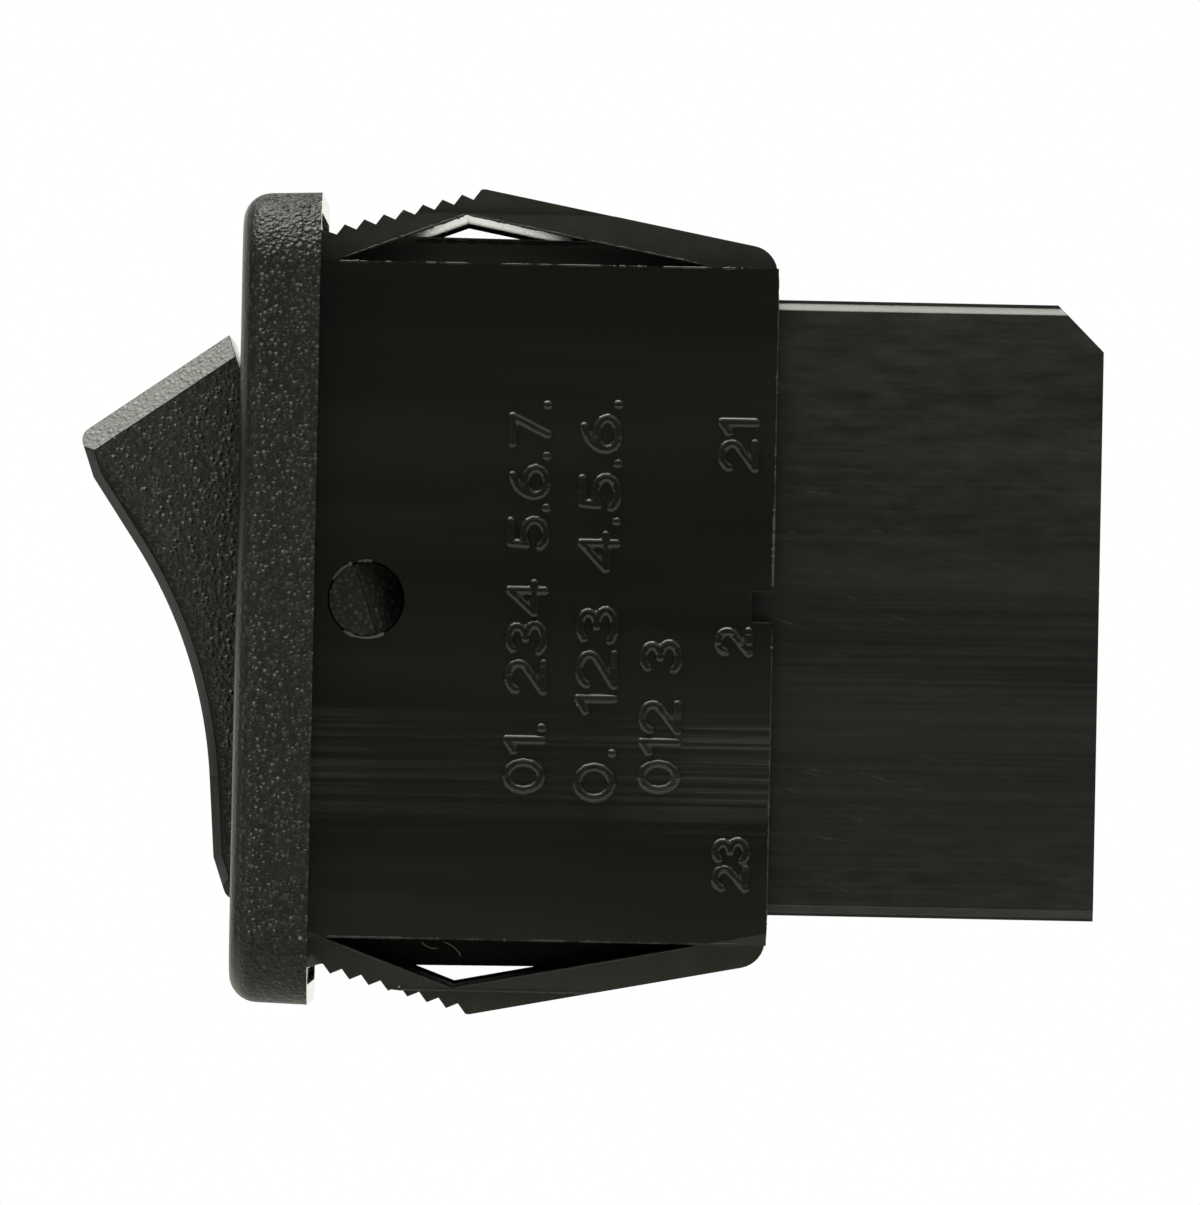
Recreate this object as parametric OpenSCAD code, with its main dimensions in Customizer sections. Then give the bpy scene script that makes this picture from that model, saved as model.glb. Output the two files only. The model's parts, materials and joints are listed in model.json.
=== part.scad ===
// Panel rocker switch: two poles, two positions, snapped into its panel by sprung wings.
// The origin is the centre of the flange's rear face, which lies on the panel.
// The rocker faces -Y, the terminals point along +Y, and the long side of the flange is along Z.

/* [Body] */
// Width of the body behind the panel, along X
body_w = 21.8; // [20:0.1:28]
// Height of the body's side walls, along Z
body_h = 26.3; // [25:0.1:34]
// Thickness of the side walls that carry the rocker
side_wall = 1.4; // [1:0.05:2]
// Thickness of the end walls inside the wings
end_wall = 2.2; // [1.4:0.1:3]
// Width of the raised blocks between the side walls and the wings
end_block_w = 17; // [12:0.5:18]
// Height of those blocks above the side walls
end_block_rise = 1.07; // [0.8:0.01:1.4]

/* [Flange] */
// How far the flange reaches past the body's sides
flange_side_lip = 1.6; // [1:0.1:4]
// How far the flange reaches past the body's end blocks
flange_end_lip = 1.58; // [1.2:0.02:4]
// Thickness of the flange, in front of the panel
flange_t = 3.05; // [2.2:0.05:5]
// Radius of the edges round the flange's front face
flange_edge_r = 1.1; // [0.4:0.05:1.5]
// Radius of the flange's corners, seen from the front
flange_corner_r = 1.2; // [0.4:0.1:2.5]
// How far each side of the flange leans in towards the front
flange_draft = 0.1; // [0:0.02:0.3]
// Chamfer round the opening that the rocker stands in
opening_chamfer = 0.25; // [0.1:0.05:0.5]
// Depth of the relief in the flange's rear face round each wing's root
relief_t = 0.25; // [0.1:0.05:0.6]
// How far that relief reaches above the first tooth
relief_rise = 0.45; // [0.3:0.05:0.8]

/* [Snap wings] */
// How far the wings stand in from the body's sides
wing_inset = 0.8; // [0.4:0.1:2]
// Height of the first tooth above the end block
tooth_first_rise = 0.35; // [0.2:0.01:0.5]
// Height of the wing's root above the end block
root_rise = 0.18; // [0.05:0.01:0.3]
// Gap from the flange to the tip of the first tooth
tooth_first_y = 0.88; // [0.6:0.02:2]
// Distance from one tooth to the next
tooth_pitch = 0.755; // [0.6:0.005:1]
// Depth of a tooth on its steep side
tooth_depth = 0.4; // [0.2:0.02:0.45]
// Length of a tooth's steep side, along Y
tooth_lead = 0.3; // [0.15:0.01:0.4]
// Number of teeth on each wing
tooth_count = 8; // [5:1:9]
// Angle at which the row of teeth climbs away from the body
tooth_climb = 15.45; // [10:0.05:20]
// Thickness of the wing under its highest tooth
wing_t = 1.02; // [0.8:0.02:1.6]
// Height of the narrower nose on top of the wing
nose_h = 0.97; // [0.4:0.01:1.2]
// How far the nose stands in from the wing's sides
nose_inset = 0.3; // [0.1:0.05:0.6]
// Radius of the wing's rear corner
wing_corner_r = 1.1; // [0.6:0.05:1.2]

/* [Rocker] */
// Angle of the rocker to each side of its middle position
rocker_tilt = 18.65; // [14:0.05:20]
// Distance of the pivot behind the panel's front face
pivot_y = 2; // [1.6:0.05:3]
// Diameter of the pivot holes in the side walls
pivot_hole_d = 3; // [2.4:0.1:3.4]
// Radial clearance of the rocker's bosses in the pivot holes
pivot_clear = 0.05; // [0.02:0.01:0.1]
// How far the end of each boss lies below the side wall's outer face
boss_recess = 0.15; // [0.05:0.05:0.5]
// Gap between the rocker and the side walls
rocker_side_gap = 0.3; // [0.15:0.05:0.6]
// Gap that the rocker's ends keep to the end walls as they swing past
rocker_end_gap = 0.4; // [0.3:0.02:1.2]
// Distance from the pivot to the rocker's two front edges
rocker_front = 8.7; // [7.5:0.05:9.5]
// Distance from the pivot to the rear edge of the rocker's ends, towards the front
rocker_skirt = 2; // [1.6:0.1:2.6]
// Angle at which the rocker's ends taper towards the front
rocker_taper = 16.1; // [12:0.1:20]
// Length of the flat land between each front edge and the finger dish
land_l = 1.76; // [1:0.01:3]
// Radius of the finger dish across the rocker's front
dish_r = 18.6; // [14:0.1:24]
// Slope at which the finger dish runs out to the lands
dish_slope = 14.8; // [12:0.1:17]
// Thickness of the rocker's walls
rocker_wall = 1.3; // [1:0.05:1.6]
// Width of the bevels between the rocker's sides and its ends
end_bevel = 0.85; // [0.4:0.05:1.2]
// Width of the chamfers along the sides of the rocker's front
front_chamfer = 0.35; // [0.15:0.05:0.5]
// Radius of the rocker's two front edges
front_edge_r = 0.5; // [0.2:0.05:0.8]
// Clearance between the rocker's skirt and the ledge that stops it
stop_clear = 0.05; // [0.03:0.01:0.2]
// How far the stop ledges stand in from the end walls
ledge_h = 1.4; // [1:0.1:1.8]
// Depth of the stop ledges, along Y
ledge_t = 2.4; // [1.8:0.1:3]
// Thickness of the ribs inside the rocker
rib_t = 1; // [0.7:0.1:1.4]
// Wall round each pivot boss, in the rocker's cheeks
cheek_wall = 1.6; // [1.2:0.1:2]
// Slant of the bosses' ends, which spreads the side walls as the rocker is pushed in
boss_slant = 35; // [25:1:45]

/* [Plungers] */
// Distance from the pivot to the centre of a plunger's round tip
plunger_reach = 8; // [7.4:0.05:8.6]
// Radius of a plunger's tip
tip_r = 1; // [0.8:0.05:1.2]
// Diameter of a plunger's stem
plunger_d = 3; // [2.6:0.1:3.2]
// Radial clearance of a plunger in its well
plunger_clear = 0.05; // [0.02:0.01:0.1]
// Length of a plunger's stem, from its back face to its shoulder
stem_l = 3.5; // [3:0.1:3.8]
// Length of the neck from the shoulder to the centre of the tip
neck_l = 2; // [1.6:0.1:2.4]
// Wall round each plunger well
well_wall = 0.8; // [0.6:0.05:1]
// Length of stem that stands out of the well
stem_out = 1.5; // [1.3:0.1:1.9]
// Diameter of the spring wire
spring_wire = 0.32; // [0.25:0.01:0.36]
// Gap between the spring and the wall of its well
spring_gap = 0.18; // [0.1:0.02:0.3]
// Number of turns in each spring
spring_turns = 8; // [5:1:10]

/* [Contacts] */
// Clearance between a plunger's tip and the blade under it, at rest
tip_clear = 0.18; // [0.15:0.01:0.3]
// Thickness of the contact blades
blade_t = 0.5; // [0.4:0.05:0.6]
// Width of the contact blades
blade_w = 4; // [3.4:0.1:4.4]
// Inside radius of the bend that a blade rocks on
blade_bend_r = 0.3; // [0.2:0.05:0.5]
// Angle of a blade's arms beside its bend
blade_angle = 20; // [17:0.5:22]
// Angle that a blade rocks to each side of its middle position
blade_rock = 6; // [5:0.1:6.5]
// Length of the steep part of a blade's arm
blade_arm_l = 3.5; // [3.2:0.1:3.7]
// How far each fixed contact stands in from the tab of its terminal, along Z
contact_step = 1.7; // [1.5:0.05:1.9]
// Radius of the contact heads
contact_r = 1.4; // [1:0.05:1.6]
// Thickness of a moving contact's head
moving_head_t = 0.5; // [0.4:0.05:0.6]
// Thickness of a fixed contact's head
fixed_head_t = 0.6; // [0.4:0.05:0.8]
// Radius of the rivet shank under each head
shank_r = 0.65; // [0.5:0.05:0.8]
// Thickness of the closed head on the back of each rivet
tail_t = 0.25; // [0.15:0.05:0.3]
// How far that closed head reaches past the shank
tail_step = 0.2; // [0.1:0.02:0.24]
// Gap left between a closed pair of contacts
closed_gap = 0.02; // [0.01:0.01:0.05]
// Radial gap of the rivet shanks in their holes
rivet_gap = 0.02; // [0.01:0.01:0.05]

/* [Terminals] */
// Thickness of the terminals
terminal_t = 0.8; // [0.6:0.1:0.8]
// Width of the terminal tabs
tab_w = 6.3; // [4.8:0.1:6.4]
// Length of a tab behind the terminal base
tab_l = 9.6; // [8:0.1:11]
// Chamfer on the corners of a tab's end
tab_chamfer = 0.9; // [0.5:0.1:1.5]
// Diameter of the hole that a push-on receptacle clicks into
tab_hole_d = 1.7; // [1.4:0.1:2]
// Distance of that hole from the tab's end
tab_hole_back = 3.6; // [3:0.1:5]
// Width of the shoulder on each side that bears on the terminal base
shoulder_w = 0.35; // [0.2:0.05:0.5]
// Distance of the throw terminals' tabs from the end walls
throw_from_wall = 3.92; // [3.5:0.02:4.1]
// Inside radius of the bend in each throw terminal
inner_bend_r = 0.4; // [0.2:0.05:0.5]
// Length of the shoulders ahead of the terminal base
shoulder_l = 1.2; // [1:0.1:2]
// Running gap between a blade's bend and the terminal that carries it
hinge_gap = 0.03; // [0.02:0.01:0.06]
// Height of the horns that hold a blade sideways
horn_l = 1.1; // [0.6:0.1:1.4]

/* [Terminal base and shroud] */
// Thickness of the terminal base
base_t = 2; // [1.4:0.1:3]
// Width of the step in the side walls that the terminal base stops on
base_step = 0.45; // [0.3:0.05:0.6]
// Clearance round the terminal base and the shroud in the housing
base_clear = 0.05; // [0.02:0.01:0.15]
// Clearance round each terminal in its slot
slot_clear = 0.05; // [0.02:0.01:0.1]
// Thickness of the barrier between the two poles
barrier_t = 1; // [0.8:0.1:1.4]
// Gap from the plunger wells' mouths to that barrier
barrier_gap = 1.5; // [1.2:0.1:2.5]
// Height of the collars round the terminals
collar_h = 0.8; // [0.4:0.1:1.5]
// Width of the collars' walls
collar_wall = 0.6; // [0.4:0.05:0.7]
// Length of shroud held in the housing
shroud_grip = 1.6; // [1.2:0.1:4]
// Length of shroud behind the housing
shroud_out = 12.7; // [10:0.1:16]
// Thickness of the shroud's walls
shroud_wall = 1; // [0.8:0.05:1.1]
// Radius of the shroud's long edges
shroud_edge_r = 0.5; // [0.2:0.05:0.8]
// Size of the chamfer that marks the shroud's top, along Y and Z
shroud_key = 1.8; // [1:0.1:3]
// Width of the notch in the rear edge of each side wall
notch_w = 1.25; // [0.8:0.05:2]
// Depth of that notch, along Y
notch_l = 0.85; // [0.5:0.05:1.3]

/* [Hidden] */
$fn = 64;
// Steps in a quarter of a small round edge, and along the finger dish
arc_steps = 8;
dish_steps = 28;
// Steps round a spring's wire and in each of its turns
wire_sides = 6;
turn_steps = 12;
// How far a cutting solid runs past what it cuts
over = 0.5;
SIDES = [-1, 1];
// The nose's tip, behind and above the last tooth
nose_step = [0.14, 0.02];
// Distance of the window's peak ahead of the nose, and of its rear end ahead of the body's end
window_peak = 0.7;
window_end = 2.8;
// Depth to which a wing's root runs into the side walls
root_in = 0.5;
// How far a wing's rear corner stands in from the body's end, and its centre from the side walls' top
corner_in = [0.04, 0.2];
// Length over which an end block falls to the body's end, and its drop ahead of that
block_fall = [5.8, 0.1];
// How far the rocker's rear outline widens past the cheeks
cheek_flare = 1;
// Height of a spring's closed turn in wire diameters, and its gap at each end
closed_turn = 1.1;
spring_seat = 0.02;
// Gap between a plunger's spigot and the spring round it
spigot_gap = 0.2;
// How far a blade's end and the barrier reach past a contact and a tab
end_past = 0.2;
barrier_past = 1;

// Cavity, end blocks and flange
cavity_w = body_w - 2 * side_wall;
block_h = body_h + 2 * end_block_rise;
cavity_h = block_h - 2 * end_wall;
flange_w = body_w + 2 * flange_side_lip;
flange_l = block_h + 2 * flange_end_lip;
pole_x = (cavity_w + barrier_t) / 4;
throw_z = cavity_h / 2 - throw_from_wall;
contact_z = throw_z - contact_step;

// Rocker, seen from the side, with its pivot at [0, 0]
rocker_w = cavity_w - 2 * rocker_side_gap;
boss_end = body_w / 2 - boss_recess;
boss_r = pivot_hole_d / 2 - pivot_clear;
skirt_z = sqrt(pow(cavity_h / 2 - rocker_end_gap, 2) - pow(rocker_skirt, 2));
front_z = skirt_z - (rocker_front - rocker_skirt) * tan(rocker_taper);
dish_z = front_z - land_l;
dish_depth = dish_z * tan(dish_slope) - dish_r * (1 / cos(dish_slope) - 1);
dish_y = dish_depth - rocker_front - dish_r;
dish_end = [dish_y, 0] + dish_r * [cos(dish_slope), sin(dish_slope)];
cheek_r = boss_r + cheek_wall;

// Plungers, measured from the pivot along the plunger
plunger_r = plunger_d / 2;
shoulder_at = plunger_reach - neck_l;
stem_back = shoulder_at - stem_l;
well_mouth = shoulder_at - stem_out;
well_r = plunger_r + plunger_clear;
well_floor = dish_depth - rocker_front + rocker_wall;
spigot_r = well_r - spring_gap - spring_wire - spigot_gap;
spring_r = well_r - spring_gap - spring_wire / 2;

// Blade, as [y, z] from the centre that it rocks about, in its middle position
function turned(p, a) = [p[0] * cos(a) - p[1] * sin(a), p[0] * sin(a) + p[1] * cos(a)];
function outward(a) = [cos(a), sin(a)];
function along(a) = [-sin(a), cos(a)];
blade_out_r = blade_bend_r + blade_t;
blade_knee = blade_bend_r * outward(blade_angle) + blade_arm_l * along(blade_angle);
knee_turn = (blade_angle - blade_rock) / 2;
knee_back = blade_knee + blade_t / cos(knee_turn) * outward(blade_rock + knee_turn);
knee_closed = turned(blade_knee, -blade_rock);
contact_at = contact_z - knee_closed[1];
blade_end = contact_at + contact_r + end_past;
contact_spot = blade_knee + contact_at * along(blade_rock) + blade_t * outward(blade_rock);

// Places along Y, each worked out from the one before
arm_tilt = blade_angle - blade_rock;
tip_y = pivot_y + plunger_reach * cos(rocker_tilt);
tip_z = plunger_reach * sin(rocker_tilt);
tip_stand = tip_r + tip_clear - blade_bend_r;
hinge_y = tip_y + (tip_stand + tip_z * sin(arm_tilt)) / cos(arm_tilt);
saddle_y = hinge_y + blade_out_r + hinge_gap;
fixed_face_y = hinge_y + knee_closed[0] + blade_t + moving_head_t + closed_gap;
shelf_y = fixed_face_y + fixed_head_t;
base_y = shelf_y + terminal_t + shoulder_l;
base_back = base_y + base_t;
body_depth = base_back + shroud_grip;
tab_end = base_back + tab_l;
barrier_y = pivot_y + well_mouth + barrier_gap;
barrier_z = throw_z + barrier_past;

// Terminal base and shroud
seat_w = cavity_w + 2 * base_step;
base_w = seat_w - 2 * base_clear;
base_h = cavity_h - 2 * base_clear;
terminal_w = tab_w + 2 * shoulder_w;

// Wings, as [y, z]
tooth_first_z = block_h / 2 + tooth_first_rise;
last_tooth = [tooth_first_y + (tooth_count - 1) * tooth_pitch,
    tooth_first_z + (tooth_count - 1) * tooth_pitch * tan(tooth_climb)];
wing_nose = last_tooth + nose_step;
wing_corner = [body_depth - wing_corner_r - corner_in[0], body_h / 2 - corner_in[1]];
wing_fall = atan((wing_nose[1] - wing_corner[1] - wing_corner_r) / (wing_corner[0] - wing_nose[0]));
window_apex = wing_nose - [window_peak, wing_t];
wing_w = body_w - 2 * wing_inset;

// Finishes
BODY_BLACK = [0.11, 0.11, 0.10];
GRAIN_BLACK = [0.17, 0.17, 0.17];
SHROUD_BLACK = [0.14, 0.14, 0.13];
BASE_BROWN = [0.22, 0.17, 0.13];
NYLON = [0.88, 0.87, 0.82];
STEEL = [0.62, 0.63, 0.65];
BRASS = [0.76, 0.62, 0.33];
COPPER = [0.78, 0.50, 0.33];
SILVER = [0.82, 0.82, 0.80];

// A [y, z] outline made w wide along X, centred on X = 0
module across(w) {
    translate([-w / 2, 0, 0])
        rotate([90, 0, 90])
            linear_extrude(w)
                children();
}

// An [x, z] outline made solid from y0 back to y1
module from_to(y0, y1) {
    translate([0, y1, 0])
        rotate([90, 0, 0])
            linear_extrude(y1 - y0)
                children();
}

// A [y, x] outline made l high along Z, centred on Z = 0
module upright(l) {
    translate([0, 0, -l / 2])
        linear_extrude(l)
            rotate(90)
                mirror([0, 1])
                    children();
}

// A copy for each end of the switch, upper and lower
module both_ends() {
    children();
    mirror([0, 0, 1])
        children();
}

// A copy for each side of the switch, +X and -X
module both_sides() {
    children();
    mirror([1, 0, 0])
        children();
}

// Points along an arc of radius r about c, from angle a0 to a1
function arc(c, r, a0, a1, steps) =
    [for (i = [0:steps]) c + r * outward(a0 + (a1 - a0) * i / steps)];

// The same [y, z] points on the other side of the middle, in the order that closes an outline
function upside_down(points) =
    [for (i = [1:len(points)]) [points[len(points) - i][0], -points[len(points) - i][1]]];

// Side of pole p on X, and side of throw t on Z
function pole_side(p) = p == 1 ? 1 : -1;
module at_pole(p) {
    translate([pole_side(p) * pole_x, 0, 0])
        children();
}
module at_throw(t) {
    mirror([0, 0, t == "a" ? 0 : 1])
        children();
}

// ---------- housing ----------

// Half of the flange's section: a leaning side and a round front edge, closed on the panel face
function flange_half(half) =
    let (lean = atan(flange_draft / flange_t))
    let (front = -flange_t)
    let (rise = half - flange_draft - flange_edge_r * (1 - sin(lean)) / cos(lean))
    arc([front + flange_edge_r, rise], flange_edge_r, 180, 90 + lean, arc_steps);

module flange_section(l) {
    upper = concat(flange_half(l / 2), [[0, l / 2]]);
    polygon(concat(upper, upside_down(upper)));
}

module rounded_oblong(w, l, r) {
    square([w, l - 2 * r], center = true);
    square([w - 2 * r, l], center = true);
    for (x = SIDES) {
        for (z = SIDES) {
            translate([x * (w / 2 - r), z * (l / 2 - r)])
                circle(r);
        }
    }
}

module flange() {
    difference() {
        intersection() {
            across(flange_w + over)
                flange_section(flange_l);
            upright(flange_l)
                flange_section(flange_w);
            from_to(-flange_t - over, 0)
                rounded_oblong(flange_w, flange_l, flange_corner_r);
        }
        // Relief round each wing's root, which keeps the face clear of the teeth
        both_ends()
            translate([-body_w / 2, -relief_t, 0])
                cube([body_w, relief_t + over, tooth_first_z + relief_rise]);
    }
}

// End block behind each wing: flat, then falling to the body's rear edge
module end_block_side() {
    polygon([[-over, 0], [-over, block_h / 2], [body_depth - block_fall[0], block_h / 2 - block_fall[1]],
        [body_depth, wing_corner[1]], [body_depth, 0]]);
}

// One wing seen from the side: a climbing row of teeth, a long fall, and a round rear corner
module wing_side() {
    foot = body_h / 2 - root_in;
    teeth = [for (i = [0:tooth_count - 1])
        let (y = tooth_first_y + i * tooth_pitch)
        let (z = tooth_first_z + i * tooth_pitch * tan(tooth_climb))
        each [[y - tooth_lead, z - tooth_depth], [y, z]]];
    corner = arc(wing_corner, wing_corner_r, 90 - wing_fall, 0, arc_steps);
    difference() {
        polygon(concat([[-over, foot], [-over, block_h / 2 + root_rise], [0, block_h / 2 + root_rise]],
            teeth, [wing_nose], corner, [[wing_corner[0] + wing_corner_r, foot]]));
        wing_window(foot);
    }
}

// The open triangle between the wing and the end block
module wing_window(foot) {
    front_y = tooth_first_y - tooth_lead;
    rear_y = body_depth - window_end;
    rear_z = window_apex[1] - (rear_y - window_apex[0]) * tan(wing_fall);
    polygon([[front_y, foot - over], [front_y, body_h / 2], window_apex,
        [rear_y, rear_z], [rear_y, foot - over]]);
}

module wing() {
    intersection() {
        across(wing_w)
            wing_side();
        union() {
            across(wing_w)
                translate([-over, 0])
                    square([body_depth + over, wing_nose[1] - nose_h]);
            across(wing_w - 2 * nose_inset)
                translate([-over, 0])
                    square([body_depth + over, flange_l]);
        }
    }
}

// A ledge that the rocker's skirt lands on, slanted to meet it flat
module stop_ledge() {
    reach = ledge_t + rocker_skirt;
    intersection() {
        translate([-body_w / 2 + side_wall / 2, 0, cavity_h / 2 - ledge_h])
            cube([body_w - side_wall, pivot_y + reach, ledge_h + end_wall / 2]);
        translate([0, pivot_y, 0])
            rotate([-rocker_tilt, 0, 0])
                translate([-body_w / 2, stop_clear - rocker_skirt, 0])
                    cube([body_w, cavity_h, cavity_h]);
    }
}

// Space inside: the rocker's well in front, a wider seat for the terminal base behind
module housing_space() {
    from_to(-flange_t - over, base_y)
        square([cavity_w, cavity_h], center = true);
    from_to(base_y, body_depth + over)
        square([seat_w, cavity_h], center = true);
}

// Chamfer round the front of the opening, as a frame of four slanted faces
module opening_lead() {
    deep = opening_chamfer + over;
    intersection() {
        across(flange_w)
            opening_wedge(cavity_h, deep);
        upright(flange_l)
            opening_wedge(cavity_w, deep);
    }
}

module opening_wedge(l, deep) {
    front = -flange_t - over;
    half = l / 2 + deep;
    polygon([[front, -half], [front, half], [front + deep, l / 2],
        [front + 2 * deep, l / 2 - deep], [front + 2 * deep, deep - l / 2], [front + deep, -l / 2]]);
}

module housing() {
    color(BODY_BLACK) {
        difference() {
            union() {
                flange();
                from_to(-over, body_depth)
                    square([body_w, body_h], center = true);
                both_ends() {
                    across(end_block_w)
                        end_block_side();
                    wing();
                }
            }
            difference() {
                housing_space();
                both_ends()
                    stop_ledge();
            }
            opening_lead();
            rotate([0, 90, 0])
                translate([0, pivot_y, -body_w])
                    cylinder(d = pivot_hole_d, h = 2 * body_w);
            translate([-body_w, body_depth - notch_l, -notch_w / 2])
                cube([2 * body_w, notch_l + over, notch_w]);
        }
    }
}

// ---------- rocker ----------

module in_rocker() {
    translate([0, pivot_y, 0])
        rotate([rocker_tilt, 0, 0])
            children();
}

// Outside of the rocker from the side: a dish that runs out straight to the lands, tapered ends,
// and cheeks round the pivot
module rocker_side() {
    inset = front_edge_r * (1 - sin(rocker_taper)) / cos(rocker_taper);
    edge = [front_edge_r - rocker_front, front_z - inset];
    dish = arc([dish_y, 0], dish_r, -dish_slope, dish_slope, dish_steps);
    land = [[-rocker_front, dish_z]];
    upper = arc(edge, front_edge_r, 180, 90 + rocker_taper, arc_steps);
    back = [[-rocker_skirt, skirt_z], [-rocker_skirt, skirt_z - ledge_h], [cheek_r, cheek_r + cheek_flare]];
    polygon(concat(dish, land, upper, back, upside_down(back), upside_down(upper), upside_down(land)));
}

// Inside of the rocker: one wall behind the dish and along the tapered ends
module rocker_hollow() {
    front = rocker_wall - rocker_front;
    slant = rocker_wall / cos(rocker_taper);
    front_in = front_z + rocker_wall * tan(rocker_taper) - slant;
    back_in = skirt_z + (cheek_r + rocker_skirt + over) * tan(rocker_taper) - slant;
    back = cheek_r + over;
    difference() {
        polygon([[front, -front_in], [back, -back_in], [back, back_in], [front, front_in]]);
        translate([dish_y, 0])
            circle(dish_r + rocker_wall, $fn = 256);
    }
}

// The bevel that runs along one tapered edge, between a side and an end
module end_bevel_cut() {
    translate([rocker_w / 2, -rocker_front, front_z])
        rotate([rocker_taper, 0, 0])
            rotate([0, 45, 0])
                translate([-2, -2, -end_bevel / sqrt(2)])
                    cube([4, rocker_front + 2, 4]);
}

// The chamfer along one side of the front: round along the dish, then straight to each end
module front_chamfer_cut() {
    c = front_chamfer;
    side = rocker_w / 2;
    translate([0, dish_y, 0])
        rotate([0, 90, 0])
            rotate([0, 0, 90 - dish_slope])
                rotate_extrude(angle = 2 * dish_slope, $fn = 256)
                    polygon([[dish_r - over, side - c - over], [dish_r + c + over, side + over],
                        [dish_r - over, side + over]]);
    both_ends() {
        translate([side, dish_end[0], dish_end[1]])
            rotate([dish_slope, 0, 0])
                straight_chamfer_cut((dish_z - dish_end[1]) / cos(dish_slope));
        translate([side, -rocker_front, dish_z])
            straight_chamfer_cut(land_l + over);
    }
}

module straight_chamfer_cut(l) {
    rotate([0, 0, -45])
        translate([-front_chamfer / sqrt(2), -2, 0])
            cube([2, 4, l]);
}

// A pivot boss, with the slant that spreads the side wall as it is pushed in
module pivot_boss() {
    root = rocker_w / 2 - rocker_wall;
    difference() {
        translate([root, 0, 0])
            rotate([0, 90, 0])
                cylinder(r = boss_r, h = boss_end - root);
        translate([boss_end, 0, -2])
            rotate([0, 0, boss_slant])
                cube([2, 4, 4]);
    }
}

// Ribs behind the dish: one from cheek to cheek, and one from end to end through each well
module rocker_ribs() {
    translate([-rocker_w / 2, -rocker_front, -rib_t / 2])
        cube([rocker_w, rocker_front, rib_t]);
    for (side = SIDES) {
        translate([side * pole_x - rib_t / 2, -rocker_front, -skirt_z])
            cube([rib_t, rocker_front - rocker_skirt - 1, 2 * skirt_z]);
    }
}

module plunger_well() {
    translate([pole_x, well_floor - over, 0])
        rotate([-90, 0, 0])
            cylinder(r = well_r + well_wall, h = well_mouth - well_floor + over);
}

module rocker() {
    color(GRAIN_BLACK) {
        in_rocker() {
            difference() {
                union() {
                    difference() {
                        across(rocker_w)
                            rocker_side();
                        difference() {
                            across(rocker_w - 2 * rocker_wall)
                                rocker_hollow();
                            rocker_ribs();
                        }
                    }
                    both_sides() {
                        pivot_boss();
                        plunger_well();
                    }
                }
                both_sides() {
                    translate([pole_x, well_floor, 0])
                        rotate([-90, 0, 0])
                            cylinder(r = well_r, h = well_mouth - well_floor + over);
                    both_ends()
                        end_bevel_cut();
                    front_chamfer_cut();
                }
            }
        }
    }
}

// ---------- plungers and springs ----------

module plunger(p) {
    cone_l = plunger_r - tip_r;
    color(NYLON) {
        at_pole(p)
            in_rocker()
                rotate([-90, 0, 0]) {
                    // Spigot inside the spring, stem, shoulder, neck and round tip
                    translate([0, 0, stem_back - stem_l / 2])
                        cylinder(r = spigot_r, h = stem_l / 2 + over);
                    translate([0, 0, stem_back])
                        cylinder(r = plunger_r, h = stem_l);
                    translate([0, 0, shoulder_at])
                        cylinder(r1 = plunger_r, r2 = tip_r, h = cone_l);
                    translate([0, 0, shoulder_at])
                        cylinder(r = tip_r, h = neck_l);
                    translate([0, 0, plunger_reach])
                        sphere(tip_r);
                }
    }
}

// Height of the spring's wire after u turns: close turns at both ends, an even pitch between
function spring_height(u, l) =
    let (close = spring_wire * closed_turn)
    let (open = (l - 2 * close) / (spring_turns - 2))
    u < 1 ? u * close : u > spring_turns - 1 ? l - (spring_turns - u) * close : close + (u - 1) * open;

module coil_spring(l) {
    rings = spring_turns * turn_steps;
    wire_r = spring_wire / 2;
    points = [for (i = [0:rings])
        let (turn = 360 * i / turn_steps)
        let (h = spring_height(i / turn_steps, l))
        for (k = [0:wire_sides - 1])
            let (out = spring_r + wire_r * cos(360 * k / wire_sides))
            [out * cos(turn), out * sin(turn), h + wire_r * sin(360 * k / wire_sides)]];
    skin = [for (i = [0:rings - 1])
        for (k = [0:wire_sides - 1])
            let (a = i * wire_sides + k)
            let (b = i * wire_sides + (k + 1) % wire_sides)
            each [[a, b, b + wire_sides], [a, b + wire_sides, a + wire_sides]]];
    start = [[for (k = [0:wire_sides - 1]) wire_sides - 1 - k]];
    end = [[for (k = [0:wire_sides - 1]) rings * wire_sides + k]];
    polyhedron(points, concat(skin, start, end));
}

module plunger_spring(p) {
    room = stem_back - well_floor;
    seat = spring_wire / 2 + spring_seat;
    color(STEEL) {
        at_pole(p)
            in_rocker()
                rotate([-90, 0, 0])
                    translate([0, 0, well_floor + seat])
                        coil_spring(room - 2 * seat);
    }
}

// ---------- contacts ----------

// The blade's rest position: pressed over to the upper throw
module on_blade(p) {
    at_pole(p)
        translate([0, hinge_y, 0])
            rotate([-blade_rock, 0, 0])
                children();
}

// The blade from the side: a round bend, then on each arm a knee and a flatter end for the contact
module blade_side() {
    tip = blade_knee + blade_end * along(blade_rock);
    tip_back = tip + blade_t * outward(blade_rock);
    fan = 2 * blade_out_r;
    // Each arm starts from a point inside the bend, halfway through its thickness
    arm = [(blade_bend_r + blade_t / 2) * outward(blade_angle / 2), blade_out_r * outward(blade_angle),
        knee_back, tip_back, tip, blade_knee, blade_bend_r * outward(blade_angle)];
    difference() {
        intersection() {
            circle(blade_out_r);
            polygon([[0, 0], fan * outward(-blade_angle), fan * outward(blade_angle)]);
        }
        circle(blade_bend_r);
    }
    polygon(arm);
    polygon(upside_down(arm));
}

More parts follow.
